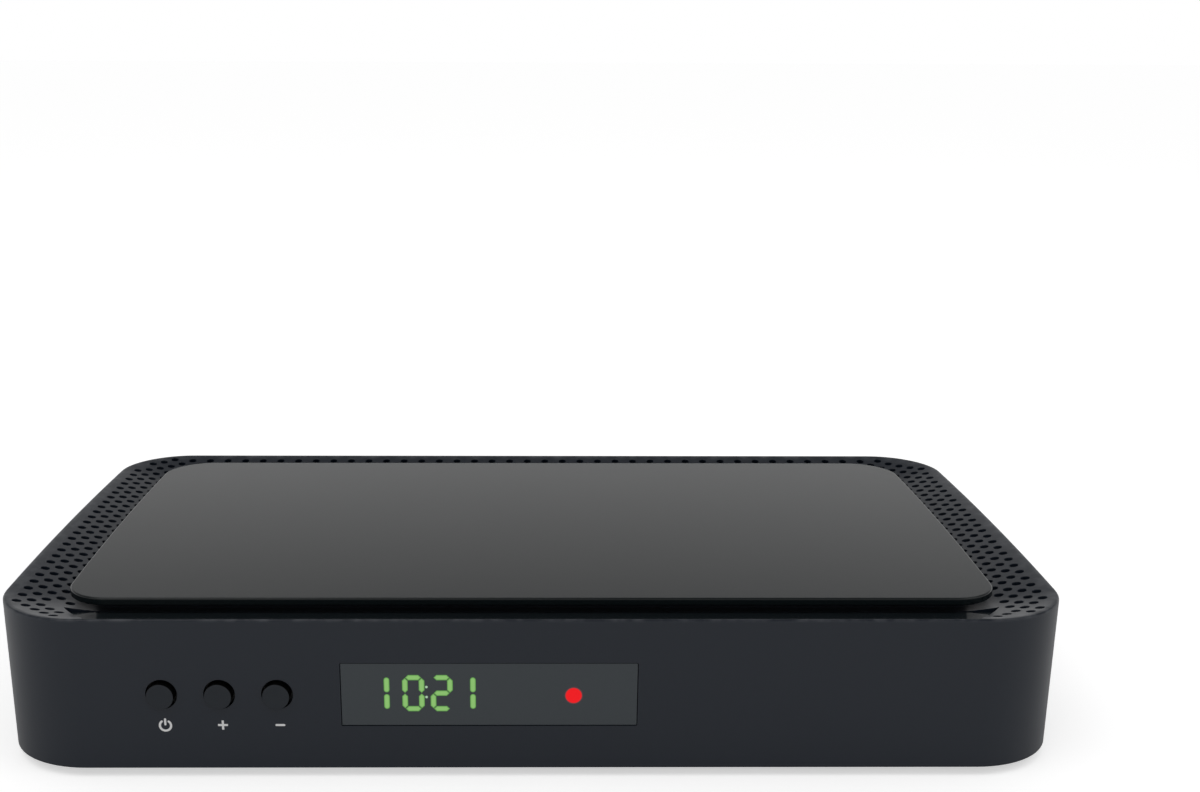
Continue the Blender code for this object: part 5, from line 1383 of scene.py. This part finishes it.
rear = {
    "flare": 0.00012,
    "edgeRound": 0.00020,
    "holeRound": 0.0004,
    "holeSides": 56,
    "blockRound": 0.0004,
    "chamfer": 0.0003,
    "lead": 0.0002,
    "seat": 0.0002,
    "contactRound": 0.00005,
    "bevelAbove": 50,
}
satellite = {
    "coreRadius": 0.0031,
    "coreSunk": 0.0005,
    "tipBevel": 0.0006,
    "pinHole": 0.00055,
    "pinHoleDepth": 0.0050,
    "pinHoleLead": 0.0004,
    "threadPitch": 0.00080,
    "threadDepth": 0.00038,
    "plainRoot": 0.0042,
    "nutChamfer": 0.0007,
    "nutPlay": 0.0001,
    "washerRadius": 0.0060,
    "washerPlay": 0.0002,
}
aerial = {
    "boreRadius": 0.0048,
    "boreDepth": 0.0080,
    "boreLead": 0.0004,
    "groove": (0.42, 0.45, 0.50, 0.53),
    "grooveDepth": 0.0004,
    "sleeveRadius": 0.0020,
    "sleeveBore": 0.0012,
    "sleeveSunk": 0.0012,
    "sleeveLead": 0.0004,
    "slotWidth": 0.0005,
    "slotLength": 0.0045,
    "slotReach": (0.004, 0.007),
    "plugRadius": 0.0047,
    "plugWall": 0.0007,
    "pinRadius": 0.0012,
    "shoulderInset": 0.0012,
    "insulator": (0.0012, 0.0010),
}
picture = {
    "shell": 0.0006,
    "chamfer": 0.0018,
    "cornerRound": 0.0005,
    "edgeRound": 0.00012,
    "mouthDepth": 0.0085,
    "tongueWidth": 0.0110,
    "tongueHeight": 0.0011,
    "tongueRound": 0.0002,
    "contactPitch": 0.0010,
    "contactWidth": 0.00042,
    "contactInset": 0.0004,
    "contactProud": 0.00006,
    "contactSunk": 0.00003,
}
network = {
    "bodyRound": 0.0003,
    "mouthWidth": 0.0120,
    "mouthHeight": 0.0070,
    "mouthDepth": 0.0130,
    "mouthRound": 0.0002,
    "sill": 0.0034,
    "latchWidth": 0.0062,
    "latchHeight": 0.0018,
    "contacts": 8,
    "contactPitch": 0.00102,
    "contactWidth": 0.00045,
    "contactFront": 0.0045,
    "contactRoof": (0.0008, 0.0014),
    "contactFloor": 0.0006,
    "contactThickness": 0.0005,
    "contactRound": 0.00006,
    "lampSize": (0.0024, 0.0016),
    "lampInset": (0.0009, 0.0007),
    "lampDepth": 0.0006,
    "lensDepth": 0.0007,
    "lensSunk": 0.00005,
    "lensRound": 0.00012,
}
usb = {
    "shell": 0.0005,
    "cornerRound": (0.0005, 0.0003),
    "edgeRound": 0.00010,
    "mouthDepth": 0.0090,
    "springAt": 0.0028,
    "springWidth": 0.0018,
    "springSpan": (0.0062, 0.0034),
    "tongueWidth": 0.0110,
    "tongueHeight": 0.0019,
    "tongueDrop": 0.0004,
    "tongueRound": 0.0002,
    "contactPitch": 0.0023,
    "contactWidth": 0.0011,
    "contactInset": 0.0013,
    "contactProud": 0.00012,
    "contactSunk": 0.00004,
}
coax = {
    "blockWidth": 0.0100,
    "blockBehind": 0.0004,
    "overlap": 0.0001,
    "radius": 0.00415,
    "coreRadius": 0.0032,
    "coreSunk": 0.0004,
    "pinRadius": 0.0017,
    "pinDepth": 0.0080,
}
jack = {
    "noseRadius": 0.0030,
    "boreRadius": 0.0018,
    "boreDepth": 0.0100,
    "linerWall": 0.0006,
    "linerProud": 0.00005,
}
inlet = {
    "boreRadius": 0.0031,
    "boreDepth": 0.0095,
    "pinRadius": 0.0010,
}


def filleted(points, radius, steps=4):
    # Closed outline with its corners rounded; each corner's curve starts and ends radius away from it
    rounded = []
    for i, point in enumerate(points):
        corner, before, after = Vector(point), Vector(points[i - 1]), Vector(points[(i + 1) % len(points)])
        start = corner + (before - corner).normalized() * radius
        end = corner + (after - corner).normalized() * radius
        for step in range(steps + 1):
            t = step / steps
            rounded.append(start * (1 - t) ** 2 + corner * (2 * t * (1 - t)) + end * t ** 2)
    return rounded


def edged(mesh, width):
    # Rounds every edge where the faces turn by more than an angle
    obj = newObject("edged", mesh)
    modifier = obj.modifiers.new("edges", "BEVEL")
    modifier.width = width
    modifier.segments = 2
    modifier.limit_method = "ANGLE"
    modifier.angle_limit = math.radians(rear["bevelAbove"])
    modifier.use_clamp_overlap = True
    result = evaluatedMesh(obj)
    bpy.data.objects.remove(obj, do_unlink=True)
    return result


def threaded(radius, depth, start, stop, pitch):
    # Ring after ring of a fine thread, as profile points
    points = []
    for i in range(int((stop - start) / pitch)):
        at = start + i * pitch
        for share, deep in ((0.08, depth), (0.42, 0), (0.62, 0), (0.96, depth)):
            points.append((radius - deep, at + share * pitch))
    return points


def ringShape(inner, outer, thick):
    return [(inner, 0), (outer, 0), (outer, thick), (inner, thick)]


def domedPin(radius, start, tip, steps):
    # Profile of a pin with a round nose
    turns = [quarterTurn * i / steps for i in range(1, steps)]
    nose = [(u, tip - radius + v) for u, v in arc(radius, turns)]
    return [(0, start), (radius, start), (radius, tip - radius)] + nose + [(0, tip)]


def turnedPiece(name, profile, sides, where, finish, nodes=(), sharp=40):
    # A piece turned about an axis that points backwards
    finishPiece(name, cleaned(revolved(profile, sides, where, "Y"), sharp), finish, nodes)


def socketAxis(node):
    # Radius, length and start of a socket that points backwards
    low, high = boxAt(node)
    middle = (low + high) / 2
    return (high.x - low.x) / 2, high.y - low.y, (middle.x, low.y, middle.z)


def makeRearPanel():
    low, high = boxAt("rear_panel")
    flare, cuts = rear["flare"], []
    radii = {node: socketAxis(node)[0]
             for node in ("satellite_socket", "aerial_in_socket", "aerial_out_socket")}
    radii.update(digital_audio_socket=coax["radius"], av_socket=jack["noseRadius"])
    for node, radius in radii.items():
        middle, r = centreOf(node), radius + gap
        profile = [(0, low.y - past), (r, low.y - past), (r, high.y - flare), (r + flare, high.y),
                   (r + flare, high.y + past), (0, high.y + past)]
        cuts.append(revolved(profile, rear["holeSides"], (middle.x, 0, middle.z), "Y"))
    for node in ("hdmi_socket", "ethernet_socket", "usb_socket", "power_inlet"):
        nodeLow, nodeHigh = boxAt(node)
        mouth = roundedRectangle(nodeLow.x - gap, nodeLow.z - gap, nodeHigh.x + gap, nodeHigh.z + gap,
                                 rear["holeRound"])
        cuts.append(prism(mouth, low.y - past, high.y + past))
    mesh = carved(block(low, high, rear["edgeRound"]), cuts)
    finishPiece("rearPanel", cleaned(mesh, 30), steelFinish, ["rear_panel"])


def makeSatelliteSocket():
    r, reach, root = socketAxis("satellite_socket")
    core, bevel, face = satellite["coreRadius"], satellite["tipBevel"], reach - satellite["coreSunk"]
    barrel = [(0, 0), (r, 0), (r, satellite["plainRoot"])]
    barrel += threaded(r, satellite["threadDepth"], satellite["plainRoot"], reach - bevel,
                       satellite["threadPitch"])
    barrel += [(r - bevel, reach), (core, reach), (core, face - bevel), (0, face - bevel)]
    turnedPiece("satelliteBarrel", barrel, 56, root, nickelFinish, ["satellite_socket"])
    hole, lead, bottom = satellite["pinHole"], satellite["pinHoleLead"], face - satellite["pinHoleDepth"]
    plug = [(core, face - lead), (core, face), (hole + lead, face), (hole, face - lead), (hole, bottom),
            (hole + lead, bottom), (hole + lead, face - lead)]
    turnedPiece("satelliteInsulator", plug, 40, root, ivoryFinish)
    low, high = boxAt("satellite_socket_nut")
    middle, thick = (low + high) / 2, high.y - low.y
    across = max(high.x - low.x, high.z - low.z) / 2
    turn = 0 if high.x - low.x > high.z - low.z else math.pi / 6
    cut = satellite["nutChamfer"]
    hexagon = [(0, 0), (across - cut, 0), (across, cut * 0.5), (across, thick - cut * 0.5),
               (across - cut, thick), (0, thick)]
    bore = rod(r + satellite["nutPlay"], (middle.x, low.y - past, middle.z), thick + 2 * past, "Y", 48)
    nut = carved(revolved(hexagon, 6, (middle.x, low.y, middle.z), "Y", turn), [bore])
    finishPiece("satelliteNut", cleaned(nut, 25), nickelFinish, ["satellite_socket_nut"])
    washer = ringShape(r + satellite["washerPlay"], satellite["washerRadius"], gap)
    turnedPiece("satelliteWasher", washer, 48, (middle.x, low.y - gap, middle.z), zincFinish,
                sharp=30)


def makeAerialSockets():
    bore, deep, slotted = aerial["boreRadius"], aerial["boreDepth"], aerial["slotWidth"] / 2
    edge, lead, seat = rear["chamfer"], rear["lead"], rear["seat"]
    thickIn, thickOut = aerial["insulator"]
    reachIn, reachOut = aerial["slotReach"]
    r, reach, root = socketAxis("aerial_in_socket")
    floor, waist = reach - deep, r - aerial["grooveDepth"]
    start, low, high, stop = (reach * share for share in aerial["groove"])
    cup = [(0, 0), (r, 0), (r, start), (waist, low), (waist, high), (r, stop), (r, reach - edge),
           (r - edge, reach), (bore + edge, reach), (bore, reach - aerial["boreLead"]), (bore, floor),
           (0, floor)]
    turnedPiece("aerialInCup", cup, 56, root, nickelFinish, ["aerial_in_socket"])
    outer, inner, tip = aerial["sleeveRadius"], aerial["sleeveBore"], reach - aerial["sleeveSunk"]
    sleeve = revolved([(inner, floor - seat), (outer, floor - seat), (outer, tip - aerial["sleeveLead"]),
                       (outer - edge, tip), (inner + lead / 2, tip), (inner, tip - lead)], 32)
    sleeve = crossSlotted(sleeve, reachIn, slotted, tip - aerial["slotLength"], tip + past)
    sleeve.transform(Matrix.Translation(root) @ turnAbout["Y"])
    finishPiece("aerialInSleeve", cleaned(sleeve, 40), brassFinish)
    turnedPiece("aerialInInsulator", ringShape(outer, bore, thickIn), 40,
                (root[0], root[1] + floor, root[2]), ivoryFinish, sharp=30)
    r, reach, root = socketAxis("aerial_out_socket")
    floor, shoulder = reach - deep, caseDepth - aerial["shoulderInset"] - root[1]
    outer, wall, pin = aerial["plugRadius"], aerial["plugWall"], aerial["pinRadius"]
    plug = revolved([(0, 0), (r, 0), (r, shoulder - edge), (r - edge, shoulder), (outer, shoulder),
                     (outer, reach - edge), (outer - wall * 0.3, reach), (outer - wall * 0.6, reach),
                     (outer - wall, reach - lead), (outer - wall, floor), (0, floor)], 56)
    plug = crossSlotted(plug, reachOut, slotted, reach - aerial["slotLength"], reach + past)
    plug.transform(Matrix.Translation(root) @ turnAbout["Y"])
    finishPiece("aerialOutPlug", cleaned(plug, 40), nickelFinish, ["aerial_out_socket"])
    turnedPiece("aerialOutPin", domedPin(pin, floor - seat, reach - wall, 6), 32, root, brassFinish)
    turnedPiece("aerialOutInsulator", ringShape(pin, outer - wall, thickOut), 40,
                (root[0], root[1] + floor, root[2]), ivoryFinish, sharp=30)


def contactRow(name, count, pitch, low, high, middle):
    # Flat contacts side by side along X
    places = [(middle + (i - (count - 1) / 2) * pitch, 0, 0) for i in range(count)]
    return repeated(name, cleaned(block(low, high, rear["contactRound"], 2)), places, goldFinish)


def makePictureSocket():
    low, high = boxAt("hdmi_socket")
    x = (low.x + high.x) / 2

    def shape(shrink):
        half, top = (high.x - low.x) / 2 - shrink, high.z - shrink
        cut = picture["chamfer"]
        return filleted([(x - half, top), (x - half, low.z + cut), (x - half + cut, low.z + shrink),
                         (x + half - cut, low.z + shrink), (x + half, low.z + cut), (x + half, top)],
                        picture["cornerRound"])

    mouth = high.y - picture["mouthDepth"]
    body = carved(prism(shape(0), low.y, high.y), [prism(shape(picture["shell"]), mouth, high.y + past)])
    finishPiece("hdmiShell", cleaned(edged(body, picture["edgeRound"]), 40), nickelFinish, ["hdmi_socket"])
    half, z, thick = picture["tongueWidth"] / 2, (low.z + high.z) / 2, picture["tongueHeight"]
    front = high.y - picture["chamfer"]
    tongue = block((x - half, mouth - rear["seat"], z), (x + half, front, z + thick), picture["tongueRound"])
    finishPiece("hdmiTongue", cleaned(tongue, 40), socketFinish)
    half, front = picture["contactWidth"] / 2, front - picture["contactInset"]
    proud, sunk = picture["contactProud"], picture["contactSunk"]
    rows = [contactRow(name, count, picture["contactPitch"], (-half, mouth, bottom), (half, front, top), x)
            for name, count, bottom, top in (("upperContacts", 9, z + thick - sunk, z + thick + proud),
                                             ("lowerContacts", 10, z - proud, z + sunk))]
    finishPiece("hdmiContacts", cleaned(joined("hdmiContacts", rows)), goldFinish,
                weighted=False)


def makeNetworkSocket():
    low, high = boxAt("ethernet_socket")
    x, floor = (low.x + high.x) / 2, low.z + network["sill"]
    deep, half = high.y - network["mouthDepth"], network["mouthWidth"] / 2
    latch, top = network["latchWidth"] / 2, floor + network["mouthHeight"]
    latchTop = top + network["latchHeight"]
    mouth = filleted([(x - half, floor), (x + half, floor), (x + half, top), (x + latch, top),
                      (x + latch, latchTop), (x - latch, latchTop), (x - latch, top), (x - half, top)],
                     network["mouthRound"], 2)
    (width, height), (aside, rise) = network["lampSize"], network["lampInset"]
    back = high.y - network["lampDepth"]
    corners = [(low.x + aside, low.z + rise), (high.x - aside - width, low.z + rise)]
    windows = [block((a, back, b), (a + width, high.y + past, b + height)) for a, b in corners]
    body = carved(block(low, high, network["bodyRound"]), [prism(mouth, deep, high.y + past)] + windows)
    finishPiece("networkBody", cleaned(body, 30), socketFinish, ["ethernet_socket"])
    for name, finish, (a, b) in zip(("linkLamp", "trafficLamp"), (greenLensFinish, amberLensFinish), corners):
        lens = block((a, high.y - network["lensDepth"], b),
                     (a + width, high.y - network["lensSunk"], b + height), network["lensRound"])
        finishPiece(name, cleaned(lens, 40), finish)
    half, count = network["contactWidth"] / 2, network["contacts"]
    back, front = deep + rear["seat"], high.y - network["contactFront"]
    (upper, lower), bottom = network["contactRoof"], floor + network["contactFloor"]
    # Springs slope down from the roof of the mouth
    spring = prism([(back, top - upper), (back, top - lower), (front, bottom),
                    (front, bottom + network["contactThickness"])], -half, half, "X")
    places = [(x + (i - (count - 1) / 2) * network["contactPitch"], 0, 0) for i in range(count)]
    mesh = repeated("networkContacts", cleaned(edged(spring, network["contactRound"])), places, goldFinish)
    finishPiece("networkContacts", cleaned(mesh), goldFinish, weighted=False)


def makeUsbSocket():
    low, high = boxAt("usb_socket")
    x, shell = (low.x + high.x) / 2, usb["shell"]
    mouth = high.y - usb["mouthDepth"]
    outerRound, innerRound = usb["cornerRound"]
    outer = roundedRectangle(low.x, low.z, high.x, high.z, outerRound, 4)
    inner = roundedRectangle(low.x + shell, low.z + shell, high.x - shell, high.z - shell, innerRound, 4)
    half, (back, front) = usb["springWidth"] / 2, usb["springSpan"]
    springs = [block((x + aside - half, high.y - back, high.z - past),
                     (x + aside + half, high.y - front, high.z + past))
               for aside in (-usb["springAt"], usb["springAt"])]
    body = carved(prism(outer, low.y, high.y), [prism(inner, mouth, high.y + past)] + springs)
    finishPiece("usbShell", cleaned(edged(body, usb["edgeRound"]), 40), nickelFinish, ["usb_socket"])
    half, top = usb["tongueWidth"] / 2, high.z - shell - usb["tongueDrop"]
    base = top - usb["tongueHeight"]
    tongue = block((x - half, mouth - rear["seat"], base), (x + half, high.y - shell, top),
                   usb["tongueRound"])
    finishPiece("usbTongue", cleaned(tongue, 40), socketFinish)
    half, front = usb["contactWidth"] / 2, high.y - usb["contactInset"]
    contacts = contactRow("usbContacts", 4, usb["contactPitch"], (-half, mouth, base - usb["contactProud"]),
                          (half, front, base + usb["contactSunk"]), x)
    finishPiece("usbContacts", cleaned(contacts), goldFinish, weighted=False)


def socketBlock(name, node, back):
    # The housing of a round socket, up to the rear panel's inner side
    low, high = boxAt(node)
    housing = block(low, (high.x, back, high.z), rear["blockRound"])
    finishPiece(name, cleaned(housing, 40), socketFinish, [node])
    return low, high, (low.x + high.x) / 2


def makeAudioSockets():
    edge, lead = rear["chamfer"], rear["lead"]
    back = boxAt("rear_panel")[0].y - coax["blockBehind"]
    low, high, x = socketBlock("coaxBlock", "digital_audio_socket", back)
    where = (x, back - coax["overlap"], low.z + coax["blockWidth"] / 2)
    r, core, pin, reach = coax["radius"], coax["coreRadius"], coax["pinRadius"], high.y - back
    barrel = [(core, 0), (r, 0), (r, reach - edge), (r - edge, reach), (core + lead / 2, reach),
              (core, reach - lead)]
    turnedPiece("coaxBarrel", barrel, 56, where, nickelFinish)
    face, floor = reach - coax["coreSunk"], reach - coax["pinDepth"]
    ring = [(0, 0), (core, 0), (core, face - lead / 2), (core - lead / 2, face), (pin + lead, face),
            (pin, face - lead), (pin, floor), (0, floor)]
    turnedPiece("coaxCore", ring, 48, where, orangeFinish)
    low, high, x = socketBlock("jackBlock", "av_socket", back)
    where = (x, back, (low.z + high.z) / 2)
    nose, bore, reach = jack["noseRadius"], jack["boreRadius"], high.y - back
    liner = bore + jack["linerWall"]
    collar = [(liner, 0), (nose, 0), (nose, reach - edge), (nose - edge, reach), (liner, reach)]
    turnedPiece("jackCollar", collar, 48, where, socketFinish)
    tip, floor = reach + jack["linerProud"], max(high.y - jack["boreDepth"] - back, 0)
    tube = [(liner, floor), (liner, tip), (bore + lead, tip), (bore, tip - lead), (bore, floor)]
    turnedPiece("jackLiner", tube, 40, where, nickelFinish)


def makePowerInlet():
    low, high = boxAt("power_inlet")
    x, z = (low.x + high.x) / 2, (low.z + high.z) / 2
    r, floor, pin = inlet["boreRadius"], high.y - inlet["boreDepth"], inlet["pinRadius"]
    wide = r + rear["chamfer"]
    bore = [(0, floor), (r, floor), (r, high.y - rear["chamfer"]), (wide, high.y), (wide, high.y + past),
            (0, high.y + past)]
    body = carved(block(low, high, rear["blockRound"]), [revolved(bore, 48, (x, 0, z), "Y")])
    finishPiece("inletBody", cleaned(body, 30), socketFinish, ["power_inlet"])
    turnedPiece("inletPin", domedPin(pin, floor - rear["seat"], high.y - pin, 5), 28, (x, 0, z), nickelFinish)


makeTray()
makeFeet()
makeScrews()
print("tray, feet and screws made")
makeRearPanel()
makeSatelliteSocket()
makeAerialSockets()
makePictureSocket()
makeNetworkSocket()
makeUsbSocket()
makeAudioSockets()
makePowerInlet()
print("rear made")


# Inside: the CAD pieces keep their shapes and get these finishes

inside = (
    (foamFinish, "light_mask"),
    (redLensFinish, "standby_lamp"),
    (displayFinish, "clock_display"),
    (boardFinish, "front_board", "main_board"),
    (ribbonFinish, "ribbon_cable"),
    (chipFinish, "remote_receiver", "processor", "memory_chip", "flash_chip", "power_inductor"),
    (tinFinish, "crystal", "satellite_tuner", "terrestrial_tuner"),
    (aluminiumFinish, "heatsink"),
    (sleeveFinish, "filter_capacitor_1", "filter_capacitor_2"),
    (socketFinish, "power_switch", "channel_up_switch", "channel_down_switch"),
    (ivoryFinish, "front_board_header", "main_board_header", "power_switch_plunger",
     "channel_up_switch_plunger", "channel_down_switch_plunger"),
)
for finish, *nodes in inside:
    for node in nodes:
        for place in frame["nodes"][node].material_slots:
            place.material = finish
print("inside finished")


# Camera, light and floor

view = {
    "fromCase": (-0.00122, -0.27855, 0.13897),
    "turn": (72.3799, -0.2287, -0.5974),
    "lens": 45.36,
    "sensor": 36.0,
    "shift": (0.0467, 0.1125),
    "clip": (0.01, 50.0),
}
studio = {
    "ambient": 0.55,
    "sweepRise": (0.08, 0.40),
    "ceiling": 0.20,
    "floorColour": (0.80, 0.80, 0.80, 1),
    "floorRoughness": 0.9,
    "floorGlow": 0.55,
    "floorSize": 20,
    "lamps": (("softKey", (-0.5, -0.5, 1.2), 0.9, 1.6), ("softFill", (0.8, -0.3, 0.9), 0.8, 0.8)),
    "lampSpread": 150,
}


def makeCamera():
    data = bpy.data.cameras.new("camera")
    camera = newObject("camera", data)
    camera.location = caseShift + Vector(view["fromCase"])
    camera.rotation_euler = [math.radians(angle) for angle in view["turn"]]
    data.lens = view["lens"]
    data.sensor_width = view["sensor"]
    data.sensor_fit = "HORIZONTAL"
    data.shift_x, data.shift_y = view["shift"]
    data.clip_start, data.clip_end = view["clip"]
    bpy.context.scene.camera = camera


def addLamp(name, where, size, power):
    # A square soft light aimed at the origin
    data = bpy.data.lights.new(name, "AREA")
    data.shape = "RECTANGLE"
    data.size = data.size_y = size
    data.energy = power
    data.spread = math.radians(studio["lampSpread"])
    lamp = newObject(name, data)
    lamp.location = where
    lamp.rotation_euler = (-Vector(where)).to_track_quat("-Z", "Y").to_euler()


def makeStudio():
    world = bpy.data.worlds.new("studio")
    bpy.context.scene.world = world
    world.use_nodes = True
    tree = world.node_tree
    tree.nodes.clear()
    rays = addNode(tree, "ShaderNodeLightPath").outputs
    seen = calc(tree, "MAXIMUM", rays["Is Camera Ray"], rays["Is Transmission Ray"])
    level = calc(tree, "MULTIPLY_ADD", seen, 1.0 - studio["ambient"], studio["ambient"])
    rise = split(tree, addNode(tree, "ShaderNodeTexCoord").outputs["Generated"])["Z"]
    sweep = spread(tree, rise, *studio["sweepRise"], 1.0, studio["ceiling"])  # white wall, darker ceiling
    level = calc(tree, "MULTIPLY_ADD", rays["Is Glossy Ray"], calc(tree, "SUBTRACT", sweep, level), level)
    sky = addNode(tree, "ShaderNodeBackground", {"Color": (1, 1, 1, 1), "Strength": level})
    addNode(tree, "ShaderNodeOutputWorld", {"Surface": sky.outputs[0]})
    material = bpy.data.materials.new("pale floor")
    material.use_nodes = True
    tree = material.node_tree
    shader = tree.nodes["Principled BSDF"]
    shader.inputs["Base Color"].default_value = studio["floorColour"]
    shader.inputs["Roughness"].default_value = studio["floorRoughness"]
    shader.inputs["Specular IOR Level"].default_value = 0.0
    rays = addNode(tree, "ShaderNodeLightPath").outputs
    glow = calc(tree, "MULTIPLY", rays["Is Camera Ray"], studio["floorGlow"])
    shine = addNode(tree, "ShaderNodeEmission", {"Color": (1, 1, 1, 1), "Strength": glow})
    both = addNode(tree, "ShaderNodeAddShader", {0: shader.outputs[0], 1: shine.outputs[0]})
    tree.links.new(both.outputs[0], tree.nodes["Material Output"].inputs["Surface"])
    bm = bmesh.new()
    bmesh.ops.create_grid(bm, x_segments=1, y_segments=1, size=studio["floorSize"])
    floor = newObject("floor", meshFrom("floor", bm))
    floor.data.materials.append(material)
    for lamp in studio["lamps"]:
        addLamp(*lamp)


makeCamera()
makeStudio()
bpy.context.scene.view_settings.view_transform = "Standard"
print("camera, light and floor made")
